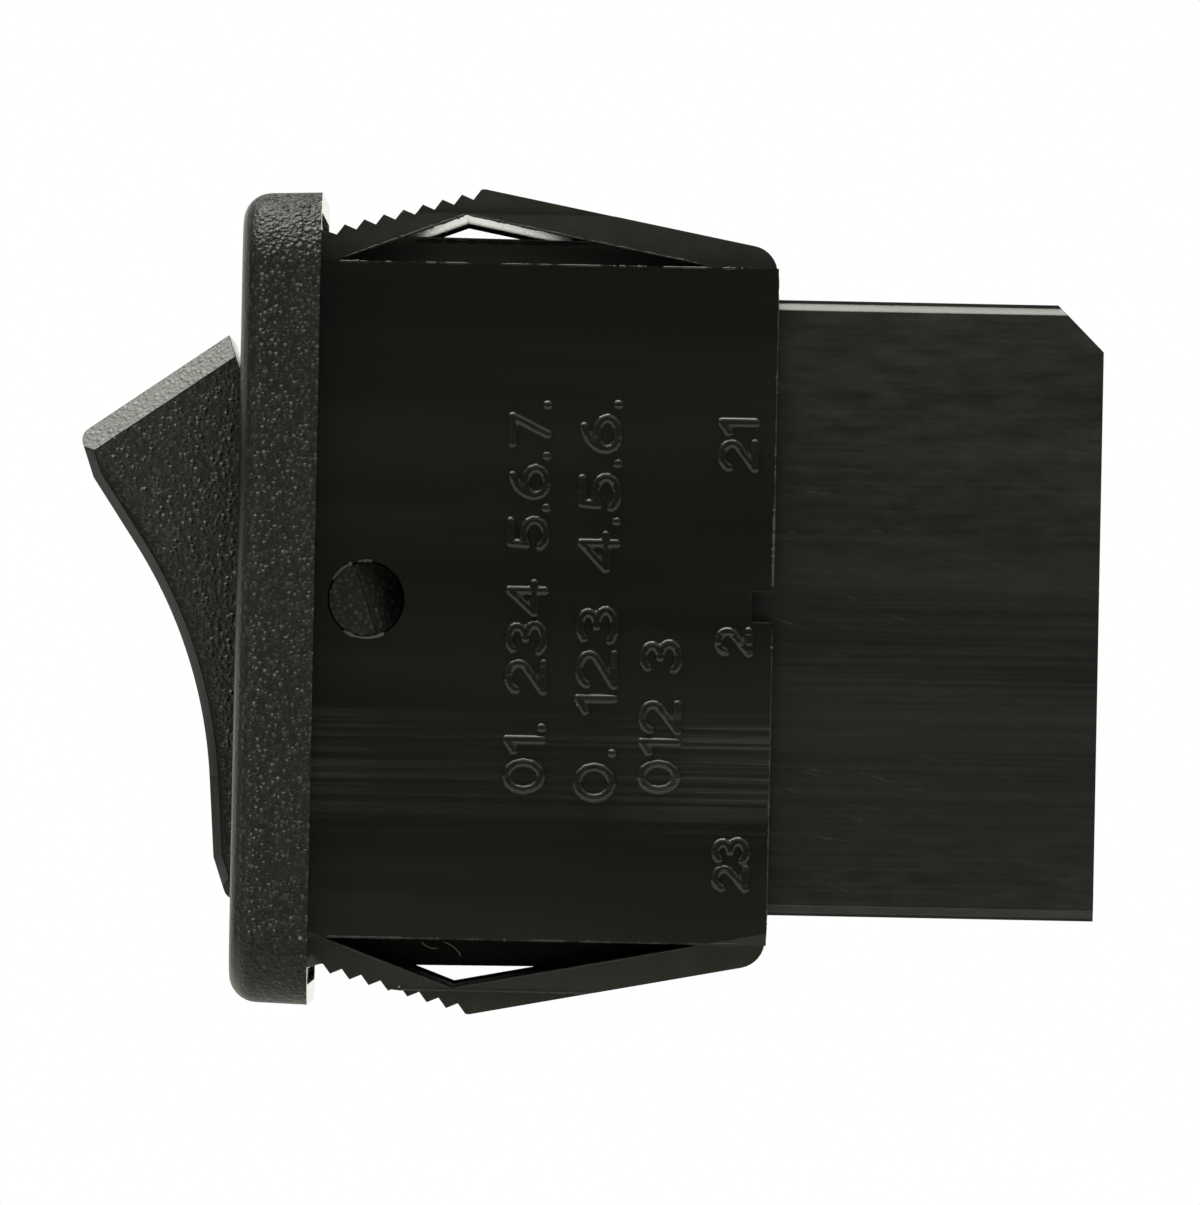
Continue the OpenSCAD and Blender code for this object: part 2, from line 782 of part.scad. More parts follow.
module contact_blade(p) {
    color(COPPER) {
        on_blade(p)
            difference() {
                across(blade_w)
                    blade_side();
                both_ends()
                    on_contact_spot()
                        translate([0, 0, -blade_t - over])
                            cylinder(r = shank_r + rivet_gap, h = blade_t + 2 * over);
            }
    }
}

// The spot on the back of a blade's end where its contact sits, with +Z out of the blade
module on_contact_spot() {
    translate([0, contact_spot[0], contact_spot[1]])
        rotate([blade_rock - 90, 0, 0])
            children();
}

// A rivet whose head stands on Z = 0 and whose shank runs down through a plate of thickness t
module contact_rivet(head_t, t) {
    cylinder(r = contact_r, h = head_t);
    translate([0, 0, -t - tail_t])
        cylinder(r = shank_r, h = t + tail_t + head_t);
    translate([0, 0, -t - tail_t])
        cylinder(r = shank_r + tail_step, h = tail_t);
}

module moving_contact(p, t) {
    color(SILVER) {
        on_blade(p)
            at_throw(t)
                on_contact_spot()
                    contact_rivet(moving_head_t, blade_t);
    }
}

module fixed_contact(p, t) {
    color(SILVER) {
        at_pole(p)
            at_throw(t)
                translate([0, shelf_y, contact_z])
                    rotate([90, 0, 0])
                        contact_rivet(fixed_head_t, terminal_t);
    }
}

// ---------- terminals ----------

// Outline of a tab, from the base's front face to its chamfered end
module tab_outline() {
    half = tab_w / 2;
    difference() {
        polygon([[-half, base_y - over], [half, base_y - over], [half, tab_end - tab_chamfer],
            [half - tab_chamfer, tab_end], [tab_chamfer - half, tab_end],
            [-half, tab_end - tab_chamfer]]);
        translate([0, tab_end - tab_hole_back])
            circle(d = tab_hole_d);
    }
}

module common_terminal(p) {
    half = terminal_w / 2;
    color(BRASS) {
        at_pole(p)
            translate([0, 0, -terminal_t / 2])
                linear_extrude(terminal_t) {
                    tab_outline();
                    translate([-half, saddle_y])
                        square([terminal_w, base_y - saddle_y]);
                    // Horns that hold the blade from both sides
                    for (side = SIDES) {
                        translate([side * (half + blade_w / 2 + slot_clear) / 2, saddle_y])
                            square([half - blade_w / 2 - slot_clear, 2 * horn_l], center = true);
                    }
                }
    }
}

// Side view of a throw terminal's front: a shelf that faces the blade, bent back to the tab
module throw_shelf() {
    bend_r = terminal_t + inner_bend_r;
    bend = [shelf_y + bend_r, throw_z + terminal_t / 2 - bend_r];
    inner_z = contact_z - contact_r;
    translate([shelf_y, inner_z])
        square([terminal_t, bend[1] - inner_z]);
    translate([bend[0], throw_z - terminal_t / 2])
        square([base_y - bend[0], terminal_t]);
    intersection() {
        translate(bend)
            difference() {
                circle(bend_r);
                circle(inner_bend_r);
            }
        translate([shelf_y, bend[1]])
            square(bend_r);
    }
}

module throw_terminal(p, t) {
    color(BRASS) {
        at_pole(p)
            at_throw(t) {
                difference() {
                    across(terminal_w)
                        throw_shelf();
                    translate([0, shelf_y - over, contact_z])
                        rotate([-90, 0, 0])
                            cylinder(r = shank_r + rivet_gap, h = terminal_t + 2 * over);
                }
                translate([0, 0, throw_z - terminal_t / 2])
                    linear_extrude(terminal_t)
                        tab_outline();
            }
    }
}

// ---------- terminal base and shroud ----------

// One copy at each of the six terminals, as [x, z]
module at_each_terminal() {
    for (x = SIDES) {
        for (z = [-1, 0, 1]) {
            translate([x * pole_x, z * throw_z])
                children();
        }
    }
}

module terminal_base() {
    slot = [tab_w + 2 * slot_clear, terminal_t + 2 * slot_clear];
    collar = slot + 2 * [collar_wall, collar_wall];
    color(BASE_BROWN) {
        difference() {
            union() {
                from_to(base_y, base_back)
                    square([base_w, base_h], center = true);
                from_to(base_back - over, base_back + collar_h)
                    at_each_terminal()
                        square(collar, center = true);
                // Barrier that keeps the two poles apart
                from_to(barrier_y, base_y + over)
                    square([barrier_t, 2 * barrier_z], center = true);
            }
            from_to(base_y - over, base_back + collar_h + over)
                at_each_terminal()
                    square(slot, center = true);
        }
    }
}

module terminal_shroud() {
    back = body_depth + shroud_out;
    color(SHROUD_BLACK) {
        difference() {
            from_to(base_back, back)
                rounded_oblong(base_w, base_h, shroud_edge_r);
            from_to(base_back - over, back + over)
                square([base_w - 2 * shroud_wall, base_h - 2 * shroud_wall], center = true);
            // The slanted top corner that shows which way round a connector goes
            across(body_w)
                polygon([[back - shroud_key, base_h / 2 + over], [back - shroud_key, base_h / 2],
                    [back, base_h / 2 - shroud_key], [back + over, base_h / 2 - shroud_key],
                    [back + over, base_h / 2 + over]]);
        }
    }
}

housing();
rocker();
plunger(1);  // plunger_1
plunger(2);  // plunger_2
plunger_spring(1);  // plunger_spring_1
plunger_spring(2);  // plunger_spring_2
contact_blade(1);  // contact_blade_1
contact_blade(2);  // contact_blade_2
moving_contact(1, "a");  // moving_contact_1a
moving_contact(1, "b");  // moving_contact_1b
moving_contact(2, "a");  // moving_contact_2a
moving_contact(2, "b");  // moving_contact_2b
fixed_contact(1, "a");  // fixed_contact_1a
fixed_contact(1, "b");  // fixed_contact_1b
fixed_contact(2, "a");  // fixed_contact_2a
fixed_contact(2, "b");  // fixed_contact_2b
common_terminal(1);  // common_terminal_1
common_terminal(2);  // common_terminal_2
throw_terminal(1, "a");  // throw_terminal_1a
throw_terminal(1, "b");  // throw_terminal_1b
throw_terminal(2, "a");  // throw_terminal_2a
throw_terminal(2, "b");  // throw_terminal_2b
terminal_base();
terminal_shroud();
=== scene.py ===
"""Looks of a panel rocker switch: black mouldings with a spark-grained bezel and rocker, glossy sides with
raised numerals, a drawn shroud, and the metal of its contacts and terminals.

Lengths are in metres. The rocker faces -Y, the terminals point along +Y, +Z is up and +X faces the camera.

The solids of the frame give every form: each is replaced by a finished copy of its own mesh, with broken
edges. Raised numerals, moulding flash, two webs and two fibres are added to the housing.
"""
import json
import math

import bmesh
import bpy
import numpy as np
from mathutils import Matrix, Vector

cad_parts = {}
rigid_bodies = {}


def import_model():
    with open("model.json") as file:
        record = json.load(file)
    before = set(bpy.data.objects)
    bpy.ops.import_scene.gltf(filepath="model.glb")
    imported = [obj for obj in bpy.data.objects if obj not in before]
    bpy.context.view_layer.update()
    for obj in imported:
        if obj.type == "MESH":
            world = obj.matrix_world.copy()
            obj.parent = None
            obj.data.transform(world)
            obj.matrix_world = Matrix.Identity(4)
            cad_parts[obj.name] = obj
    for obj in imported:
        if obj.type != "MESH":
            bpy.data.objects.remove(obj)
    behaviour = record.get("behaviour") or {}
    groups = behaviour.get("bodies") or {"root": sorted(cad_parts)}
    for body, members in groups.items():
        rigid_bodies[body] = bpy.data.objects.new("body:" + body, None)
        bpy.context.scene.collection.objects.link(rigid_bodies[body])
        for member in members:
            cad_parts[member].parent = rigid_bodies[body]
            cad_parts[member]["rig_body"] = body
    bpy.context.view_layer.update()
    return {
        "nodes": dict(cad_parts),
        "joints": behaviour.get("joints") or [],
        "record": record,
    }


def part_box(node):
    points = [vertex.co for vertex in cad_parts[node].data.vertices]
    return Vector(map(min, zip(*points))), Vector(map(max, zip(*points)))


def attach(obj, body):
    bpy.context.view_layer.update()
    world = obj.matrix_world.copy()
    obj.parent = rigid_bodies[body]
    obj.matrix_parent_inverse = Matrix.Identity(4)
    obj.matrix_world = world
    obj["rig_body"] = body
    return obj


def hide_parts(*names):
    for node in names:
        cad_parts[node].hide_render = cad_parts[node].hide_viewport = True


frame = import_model()

MM = 0.001
NODES = frame["nodes"]
SLOT_OF = {row["node"]: row["material_slot"] for row in frame["record"]["subparts"]}
TILT = next(joint for joint in frame["joints"] if joint["name"] == "rocker_tilt")
REST_TILT = math.radians(-TILT["range_deg"][0]) / 2
PIVOT = Vector(TILT["pos_m"])

# Places taken from the mouldings
housing_low, housing_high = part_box("housing")
shroud_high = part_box("terminal_shroud")[1]
BEZEL_FRONT = housing_low.y
BODY_BACK = housing_high.y
SIDE_X = 10.9 * MM
SIDE_TOP = 13.15 * MM
END_BLOCK_X = 8.5 * MM

# The flange's half width and half height, its corner radius in the frame, and the larger one it shows
FLANGE_X = housing_high.x
FLANGE_Z = 15.8 * MM
FLANGE_CORNER = 1.2 * MM
CORNER_R = 2.8 * MM

# The section of the flange's rim: its lean towards the front, the radius of its front edge, and how far in
# from the rim that edge reaches
FLANGE_LEAN = 0.1 / 3.05
FLANGE_ROUND = 1.1 * MM
FLANGE_RIM = 1.165 * MM

# The rocker's cheeks, and in y and z: where the dish begins, and the corner of the cheeks' chamfer beside it
CHEEK_X = 9.2 * MM
DISH_END = (-7.011 * MM, 1.973 * MM)
CHAMFER_END = (-6.719 * MM, 2.166 * MM)

# The shroud's rounded long edges, and the sum of y and z on its slanted corner
SHROUD_EDGE = 0.5 * MM
SHROUD_SLANT = 40.66 * MM

# The wings' inner faces, seen from the side: they climb to a peak and fall again, at these slopes
WING_PEAK = (5.61 * MM, 15.03 * MM)
WING_CLIMB = 0.374
WING_FALL = 0.193
WING_FRONT_Z = WING_PEAK[1] - WING_CLIMB * WING_PEAK[0]
WING_REAR_Z = WING_PEAK[1] + WING_FALL * WING_PEAK[0]

# Points nearer than this are one point, and faces flatter than this are one face
SAME_POINT = 0.0005 * MM
SAME_FACE = math.radians(0.3)


# ---------- shader tools ----------

def put(tree, kind, plugs=None, **settings):
    """Adds a node. A plug's value is a socket to link, or a plain number or colour to set."""
    made = tree.nodes.new(kind)
    for key, value in settings.items():
        setattr(made, key, value)
    for key, value in (plugs or {}).items():
        if isinstance(value, bpy.types.NodeSocket):
            tree.links.new(value, made.inputs[key])
        else:
            made.inputs[key].default_value = value
    return made


def maths(tree, operation, a, b=0.0, c=0.0):
    """One step of arithmetic on values or sockets."""
    return put(tree, "ShaderNodeMath", {0: a, 1: b, 2: c}, operation=operation).outputs[0]


def ramp(tree, value, start, end, low=0.0, high=1.0):
    """low up to start, high from end on, and a straight line between them."""
    return put(tree, "ShaderNodeMapRange", {0: value, 1: start, 2: end, 3: low, 4: high}).outputs[0]


def blend(tree, share, under, over):
    """One colour over another, by a share."""
    return put(tree, "ShaderNodeMix", {0: share, 6: under, 7: over}, data_type="RGBA").outputs[2]


def darker(colour, share):
    """Red, green and blue, each times a share."""
    return [part * share for part in colour]


def opaque(colour, times=1.0):
    """Red, green and blue, made lighter or darker, with full alpha."""
    return (*darker(colour, times), 1.0)


def along_axes(tree, vector, scale):
    """A place scaled differently along each axis, by numbers or by a socket."""
    return put(tree, "ShaderNodeVectorMath", {0: vector, 1: scale}, operation="MULTIPLY").outputs[0]


def noise(tree, vector, scale, detail=2.0, roughness=0.5):
    """Cloudy noise between 0 and 1."""
    return put(tree, "ShaderNodeTexNoise", {"Vector": vector, "Scale": scale, "Detail": detail,
                                            "Roughness": roughness}).outputs["Fac"]


def cells(tree, vector, scale):
    """The distance to the nearest point of a random scatter, and three random numbers for each point."""
    made = put(tree, "ShaderNodeTexVoronoi", {"Vector": vector, "Scale": scale})
    pick = put(tree, "ShaderNodeSeparateColor", {0: made.outputs["Color"]})
    return made.outputs["Distance"], pick.outputs


def new_group(name, inputs, outputs):
    """A shader node group with a Vector input, named numbers in, and named numbers out."""
    group = bpy.data.node_groups.new(name, "ShaderNodeTree")
    group.interface.new_socket("Vector", in_out="INPUT", socket_type="NodeSocketVector")
    for label, start in inputs:
        socket = group.interface.new_socket(label, in_out="INPUT", socket_type="NodeSocketFloat")
        socket.default_value = start
    for label in outputs:
        group.interface.new_socket(label, in_out="OUTPUT", socket_type="NodeSocketFloat")
    return group, group.nodes.new("NodeGroupInput").outputs, group.nodes.new("NodeGroupOutput").inputs


def spark_grain_group():
    """Spark-eroded grain: a scatter of low domes of unequal height over finer noise, a mask of their tops for
    painted light and shade, and a few painted glints.
    """
    g, into, out = new_group("spark_grain", [("Domes per metre", 4900.0), ("Fine per metre", 8500.0)],
                             ["Height", "Painted tops", "Painted glints"])
    distance, pick = cells(g, into["Vector"], into["Domes per metre"])
    dome = ramp(g, distance, 0.62, 0.1)
    fine = noise(g, into["Vector"], into["Fine per metre"], 2.0, 0.6)
    tall = maths(g, "MULTIPLY", dome, maths(g, "MULTIPLY_ADD", pick[0], 0.8, 0.2))
    height = maths(g, "MULTIPLY_ADD", fine, 0.8, tall)
    g.links.new(height, out["Height"])
    g.links.new(ramp(g, height, 0.45, 1.15), out["Painted tops"])
    rare = maths(g, "POWER", pick[1], 4.0)
    g.links.new(maths(g, "MULTIPLY", maths(g, "POWER", dome, 1.5), rare), out["Painted glints"])
    return g


def draw_lines_group():
    """Fine lines left by the mould: noise drawn out along Y. Gives a height and broad bands."""
    g, into, out = new_group("draw_lines", [("Lines per metre", 4200.0), ("Bands per metre", 380.0)],
                             ["Height", "Bands"])
    line_scale = put(g, "ShaderNodeCombineXYZ", {0: into["Lines per metre"], 1: 40.0,
                                                 2: into["Lines per metre"]}).outputs[0]
    band_scale = put(g, "ShaderNodeCombineXYZ", {0: 60.0, 1: 30.0, 2: into["Bands per metre"]}).outputs[0]
    g.links.new(noise(g, along_axes(g, into["Vector"], line_scale), 1.0, 3.0, 0.6), out["Height"])
    broad = noise(g, along_axes(g, into["Vector"], band_scale), 1.0, 2.0, 0.55)
    g.links.new(ramp(g, broad, 0.36, 0.66), out["Bands"])
    return g


def dust_group():
    """Sparse specks: the middles of a few cells of a scatter. Gives a mask."""
    g, into, out = new_group("dust", [("Specks per metre", 620.0), ("Size", 0.05), ("Share", 0.3)], ["Mask"])
    distance, pick = cells(g, into["Vector"], into["Specks per metre"])
    size = maths(g, "MULTIPLY", into["Size"], maths(g, "MULTIPLY_ADD", pick[1], 0.8, 0.4))
    near = ramp(g, maths(g, "DIVIDE", distance, size), 1.3, 0.6)
    chosen = maths(g, "LESS_THAN", pick[0], into["Share"])
    g.links.new(maths(g, "MULTIPLY", near, chosen), out["Mask"])
    return g


def scuff_group():
    """Hair scratches at one slant: thin cells drawn out along it and broken up. Gives a mask."""
    g, into, out = new_group("scuffs", [("Slant", 0.3), ("Along per metre", 150.0),
                                        ("Across per metre", 2600.0), ("Share", 0.1)], ["Mask"])
    turn = put(g, "ShaderNodeCombineXYZ", {0: into["Slant"], 1: 0.0, 2: 0.0}).outputs[0]
    turned = put(g, "ShaderNodeMapping", {"Vector": into["Vector"], "Rotation": turn}).outputs[0]
    scale = put(g, "ShaderNodeCombineXYZ", {0: 400.0, 1: into["Along per metre"],
                                            2: into["Across per metre"]}).outputs[0]
    distance, pick = cells(g, along_axes(g, turned, scale), 1.0)
    thin = ramp(g, distance, 0.3, 0.12)
    chosen = maths(g, "LESS_THAN", pick[0], into["Share"])
    broken = ramp(g, noise(g, into["Vector"], 2400.0, 2.0), 0.42, 0.6)
    g.links.new(maths(g, "MULTIPLY", maths(g, "MULTIPLY", thin, chosen), broken), out["Mask"])
    return g


GRAIN = spark_grain_group()
LINES = draw_lines_group()
DUST = dust_group()
SCUFFS = scuff_group()


def new_material(name, colour, roughness, **constants):
    """A material with one Principled shader. Gives it, its node tree, shader and Object coordinates."""
    material = bpy.data.materials.new(name)
    material.use_nodes = True
    tree = material.node_tree
    shader = next(n for n in tree.nodes if n.type == "BSDF_PRINCIPLED")
    shader.inputs["Base Color"].default_value = opaque(colour)
    shader.inputs["Roughness"].default_value = roughness
    for key, value in constants.items():
        shader.inputs[key.replace("_", " ")].default_value = value
    place = tree.nodes.new("ShaderNodeTexCoord").outputs["Object"]
    return material, tree, shader, place


def use(tree, group, place, **values):
    """Places an effect in a material with its own values."""
    made = put(tree, "ShaderNodeGroup", node_tree=group)
    tree.links.new(place, made.inputs["Vector"])
    for key, value in values.items():
        made.inputs[key.replace("_", " ")].default_value = value
    return made.outputs


def plug(tree, shader, **sockets):
    """Links sockets into the shader by name."""
    for key, socket in sockets.items():
        tree.links.new(socket, shader.inputs[key.replace("_", " ")])


def bump(tree, height, strength, distance, under=None):
    """A bump from a height, over another normal if there is one."""
    made = put(tree, "ShaderNodeBump", {"Height": height, "Strength": strength, "Distance": distance})
    if under is not None:
        tree.links.new(under, made.inputs["Normal"])
    return made.outputs[0]


def axes_of(tree, place):
    """The x, y and z of a place."""
    return put(tree, "ShaderNodeSeparateXYZ", {0: place}).outputs


# ---------- finishes ----------

SIDE_BLACK = (0.0092, 0.0091, 0.0077)
EDGE_BLACK = (0.0110, 0.0109, 0.0093)
GRAIN_GREY = (0.0095, 0.0095, 0.0078)
SHROUD_BLACK = (0.0135, 0.0137, 0.0114)
SPECK_WHITE = (0.34, 0.33, 0.30, 1.0)
PLASTIC_SHINE = 0.6
DULL_SHINE = 0.15


def grained_black(name, depth, shine, fade):
    """Black plastic with spark-eroded grain, the tops of its domes painted lighter and the hollows darker as
    painted light and shade, and a few painted glints. fade builds the mask that smooths it towards worn
    edges.
    """
    material, tree, shader, place = new_material(name, GRAIN_GREY, 0.4, Specular_IOR_Level=shine)
    grain = use(tree, GRAIN, place)
    dust = use(tree, DUST, place, Specks_per_metre=800.0, Share=0.12, Size=0.06)
    amount = fade(tree, place)
    glints = maths(tree, "MULTIPLY", grain["Painted glints"], amount)
    # Painted light and shade: the grain's tops lighter, the hollows between them darker.
    lit_tops_shaded_hollows = blend(tree, maths(tree, "MULTIPLY", grain["Painted tops"], amount), opaque(GRAIN_GREY, 0.3),
                    opaque(GRAIN_GREY, 2.4))
    # Painted glints: a few bright spots of colour.
    with_painted_glints = blend(tree, glints, lit_tops_shaded_hollows, opaque(GRAIN_GREY, 10.0))
    less_rough = maths(tree, "MULTIPLY_ADD", glints, -0.15, 0.34)
    plug(tree, shader, Base_Color=blend(tree, dust["Mask"], with_painted_glints, SPECK_WHITE),
         Roughness=maths(tree, "MULTIPLY_ADD", amount, 0.08, less_rough),
         Normal=bump(tree, maths(tree, "MULTIPLY", grain["Height"], amount), 1.0, depth))
    return material


def bezel_fade(tree, place):
    """Full grain behind the rounded front edge, and next to none on it."""
    return ramp(tree, axes_of(tree, place)[1], BEZEL_FRONT + 0.35 * MM, BEZEL_FRONT + 0.75 * MM, 0.12, 1.0)


def rocker_fade(tree, place):
    """Full grain on the cheeks, and next to none within a short distance of the finger dish.

    The dish is a cylinder along X. It is described from the pivot with the rocker in its middle position, so
    places are turned back to that first."""
    dish_radius = 22.0 * MM
    dish_bottom = -7.29 * MM
    back = Matrix.Rotation(-REST_TILT, 3, "X") @ PIVOT
    local = put(tree, "ShaderNodeMapping", {"Vector": place, "Rotation": (-REST_TILT, 0.0, 0.0),
                                            "Location": -back}).outputs[0]
    axes = axes_of(tree, local)
    from_centre = put(tree, "ShaderNodeCombineXYZ",
                      {0: 0.0, 1: maths(tree, "SUBTRACT", axes[1], dish_bottom - dish_radius), 2: axes[2]})
    length = put(tree, "ShaderNodeVectorMath", {0: from_centre.outputs[0]}, operation="LENGTH")
    depth = maths(tree, "SUBTRACT", length.outputs["Value"], dish_radius)
    return ramp(tree, depth, 0.35 * MM, 0.8 * MM, 0.12, 1.0)


def smooth_black(name, colour, roughness, shine=PLASTIC_SHINE):
    """Ungrained black plastic for edges and small faces, with a fine unevenness in height and roughness."""
    material, tree, shader, place = new_material(name, colour, roughness, Specular_IOR_Level=shine)
    fine = noise(tree, place, 6000.0)
    plug(tree, shader, Roughness=maths(tree, "MULTIPLY_ADD", fine, 0.18, roughness - 0.09),
         Normal=bump(tree, fine, 0.5, 0.004 * MM))
    return material


def streak_sheen_patch(tree, axes, lines):
    """Where flow streaks show on the side, with their sheen painted in: a band below the middle, strongest at
    its two ends.
    """
    band = maths(tree, "MULTIPLY", ramp(tree, axes[2], -4.0 * MM, -4.5 * MM),
                 ramp(tree, axes[2], -9.4 * MM, -7.6 * MM))
    ends = maths(tree, "MAXIMUM", ramp(tree, axes[1], 11.5 * MM, 15.0 * MM),
                 ramp(tree, axes[1], 3.0 * MM, 0.6 * MM, 0.0, 0.7))
    streaks = ramp(tree, lines["Height"], 0.42, 0.64, 0.1, 1.0)
    return maths(tree, "MULTIPLY", maths(tree, "MULTIPLY", band, streaks),
                 maths(tree, "MULTIPLY_ADD", ends, 0.6, 0.3))


def glossy_side():
    """Black plastic moulded against polished steel: draw lines along Y, flow streaks whose sheen is painted
    lighter as a reflection, wings painted lighter as light, and specks of dust.
    """
    material, tree, shader, place = new_material("glossy_side", SIDE_BLACK, 0.2,
                                                 Specular_IOR_Level=PLASTIC_SHINE)
    axes = axes_of(tree, place)
    lines = use(tree, LINES, place)
    dust = use(tree, DUST, place, Specks_per_metre=640.0, Share=0.45, Size=0.032)
    scuffs = use(tree, SCUFFS, place, Slant=0.05, Share=0.05)
    streaks = streak_sheen_patch(tree, axes, lines)
    arms = maths(tree, "MINIMUM", maths(tree, "MULTIPLY_ADD", axes[1], WING_CLIMB, WING_FRONT_Z),
                 maths(tree, "MULTIPLY_ADD", axes[1], -WING_FALL, WING_REAR_Z))
    below = maths(tree, "GREATER_THAN", maths(tree, "MULTIPLY", axes[2], -1.0), arms)
    above = maths(tree, "GREATER_THAN", axes[2], SIDE_TOP + 0.02 * MM)
    beside = maths(tree, "MAXIMUM", above, below)
    mottle = ramp(tree, noise(tree, place, 900.0, 4.0, 0.6), 0.3, 0.7)
    # Painted light: beyond the side wall, the wings and the wall above the upper wing are painted lighter,
    # with a mottle, where the lamps leave them in shade.
    wing = blend(tree, mottle, opaque(SIDE_BLACK, 4.4), opaque(SIDE_BLACK, 6.0))
    base = blend(tree, beside, blend(tree, lines["Bands"], opaque(SIDE_BLACK), opaque(SIDE_BLACK, 1.8)), wing)
    # Painted reflection: the flow streaks' sheen is painted lighter; their extra roughness below is real.
    with_painted_sheen = blend(tree, streaks, base, opaque(SIDE_BLACK, 5.5))
    scuffed = blend(tree, maths(tree, "MULTIPLY", scuffs["Mask"], 0.4), with_painted_sheen, opaque(SIDE_BLACK, 9.0))
    plug(tree, shader, Base_Color=blend(tree, dust["Mask"], scuffed, SPECK_WHITE),
         Roughness=maths(tree, "MULTIPLY_ADD", streaks, 0.15,
                         maths(tree, "MULTIPLY_ADD", lines["Bands"], 0.08, 0.15)),
         Normal=bump(tree, lines["Height"], 0.3, 0.005 * MM))
    return material


def drawn_shroud():
    """Semi-gloss black plastic with close draw lines, hair scratches and dust, painted lighter towards its
    top and bottom as painted light.
    """
    material, tree, shader, place = new_material("drawn_shroud", SHROUD_BLACK, 0.34,
                                                 Specular_IOR_Level=PLASTIC_SHINE)
    axes = axes_of(tree, place)
    lines = use(tree, LINES, place, Lines_per_metre=6200.0, Bands_per_metre=300.0)
    steep = use(tree, SCUFFS, place, Slant=0.3, Share=0.3, Across_per_metre=4200.0, Along_per_metre=260.0)
    level = use(tree, SCUFFS, place, Slant=0.1, Share=0.3, Across_per_metre=4200.0, Along_per_metre=300.0)
    dust = use(tree, DUST, place, Specks_per_metre=600.0, Share=0.4, Size=0.03)
    close = ramp(tree, lines["Height"], 0.38, 0.62)
    # Painted light: lighter towards the top and the bottom, darker across the middle.
    upper = maths(tree, "MAXIMUM", ramp(tree, axes[2], 0.0, 5.0 * MM, 0.2, 1.0),
                  ramp(tree, axes[2], -8.5 * MM, -11.0 * MM, 0.2, 1.0))
    drawn_out = along_axes(tree, place, (1.0, 0.25, 1.0))
    mottle = ramp(tree, noise(tree, drawn_out, 2100.0, 3.0, 0.7), 0.25, 0.75)
    dark = blend(tree, close, opaque(SHROUD_BLACK, 0.3), opaque(SHROUD_BLACK, 1.1))
    light = blend(tree, mottle, opaque(SHROUD_BLACK, 2.0), opaque(SHROUD_BLACK, 4.6))
    mixed = maths(tree, "MULTIPLY_ADD", lines["Bands"], 0.3, maths(tree, "MULTIPLY", mottle, 0.5))
    band = blend(tree, maths(tree, "MULTIPLY", mixed, upper), dark, light)
    patches = ramp(tree, noise(tree, place, 260.0, 2.0), 0.42, 0.62)
    near_body = maths(tree, "MULTIPLY", patches,
                      ramp(tree, axes[1], BODY_BACK + 8.0 * MM, BODY_BACK + 2.0 * MM, 0.3, 0.8))
    scratches = maths(tree, "MULTIPLY", maths(tree, "MAXIMUM", steep["Mask"], level["Mask"]), near_body)
    scuffed = blend(tree, scratches, band, opaque(SHROUD_BLACK, 4.5))
    normal = bump(tree, lines["Height"], 0.4, 0.006 * MM)
    plug(tree, shader, Base_Color=blend(tree, dust["Mask"], scuffed, SPECK_WHITE),
         Normal=bump(tree, scratches, 0.4, 0.004 * MM, normal),
         Roughness=maths(tree, "MULTIPLY_ADD", lines["Bands"], 0.1, 0.3))
    return material


def thermoset():
    """Matt dark moulding compound with faint mottling."""
    material, tree, shader, place = new_material("thermoset", (0.03, 0.022, 0.016), 0.5)
    mottle = noise(tree, place, 900.0, 4.0)
    plug(tree, shader, Base_Color=blend(tree, mottle, (0.018, 0.013, 0.010, 1.0), (0.05, 0.038, 0.028, 1.0)),
         Roughness=ramp(tree, mottle, 0.3, 0.7, 0.42, 0.6), Normal=bump(tree, mottle, 0.4, 0.01 * MM))
    return material


def natural_nylon():
    """Milky nylon with light under its skin."""
    material, tree, shader, place = new_material("natural_nylon", (0.72, 0.70, 0.62), 0.4,
                                                 Subsurface_Weight=0.15, Subsurface_Scale=0.4 * MM)
    cloud = noise(tree, place, 700.0, 3.0)
    plug(tree, shader, Base_Color=blend(tree, cloud, (0.66, 0.63, 0.54, 1.0), (0.78, 0.76, 0.70, 1.0)),
         Roughness=maths(tree, "MULTIPLY_ADD", cloud, 0.2, 0.3))
    return material


def rolled_metal(name, bright, dull, roughness, along):
    """Strip metal: rolling marks along one axis and patches of tarnish."""
    material, tree, shader, place = new_material(name, bright, roughness, Metallic=1.0)
    scale = [2600.0, 2600.0, 2600.0]
    scale[along] = 90.0
    marks = noise(tree, along_axes(tree, place, scale), 1.0, 3.0)
    tarnish = ramp(tree, noise(tree, place, 420.0, 4.0), 0.42, 0.72)
    plug(tree, shader, Base_Color=blend(tree, tarnish, opaque(bright), opaque(dull)),
         Roughness=maths(tree, "ADD", maths(tree, "MULTIPLY", tarnish, 0.2),
                         maths(tree, "MULTIPLY_ADD", marks, 0.16, roughness - 0.08)),
         Normal=bump(tree, marks, 0.35, 0.004 * MM))
    return material


BEZEL = grained_black("grained_bezel", 0.11 * MM, 0.46, bezel_fade)
CHEEK = grained_black("grained_rocker", 0.09 * MM, 0.68, rocker_fade)
RUBBED = grained_black("rubbed_rocker", 0.018 * MM, 0.6, rocker_fade)
EDGE = smooth_black("smooth_edge", EDGE_BLACK, 0.3)
# Painted shade: the rocker's broken edges, matt and darker than the other edges.
SHADED_EDGE = smooth_black("painted_shade_edge", darker(EDGE_BLACK, 0.4), 0.56, DULL_SHINE)
POLISHED = smooth_black("polished_face", SIDE_BLACK, 0.1)
# Painted highlight: paler than the other edges, for flash along the rear edge and on the pivot hole's rim.
LIT_EDGE = smooth_black("painted_highlight_edge", (0.085, 0.083, 0.075), 0.35)
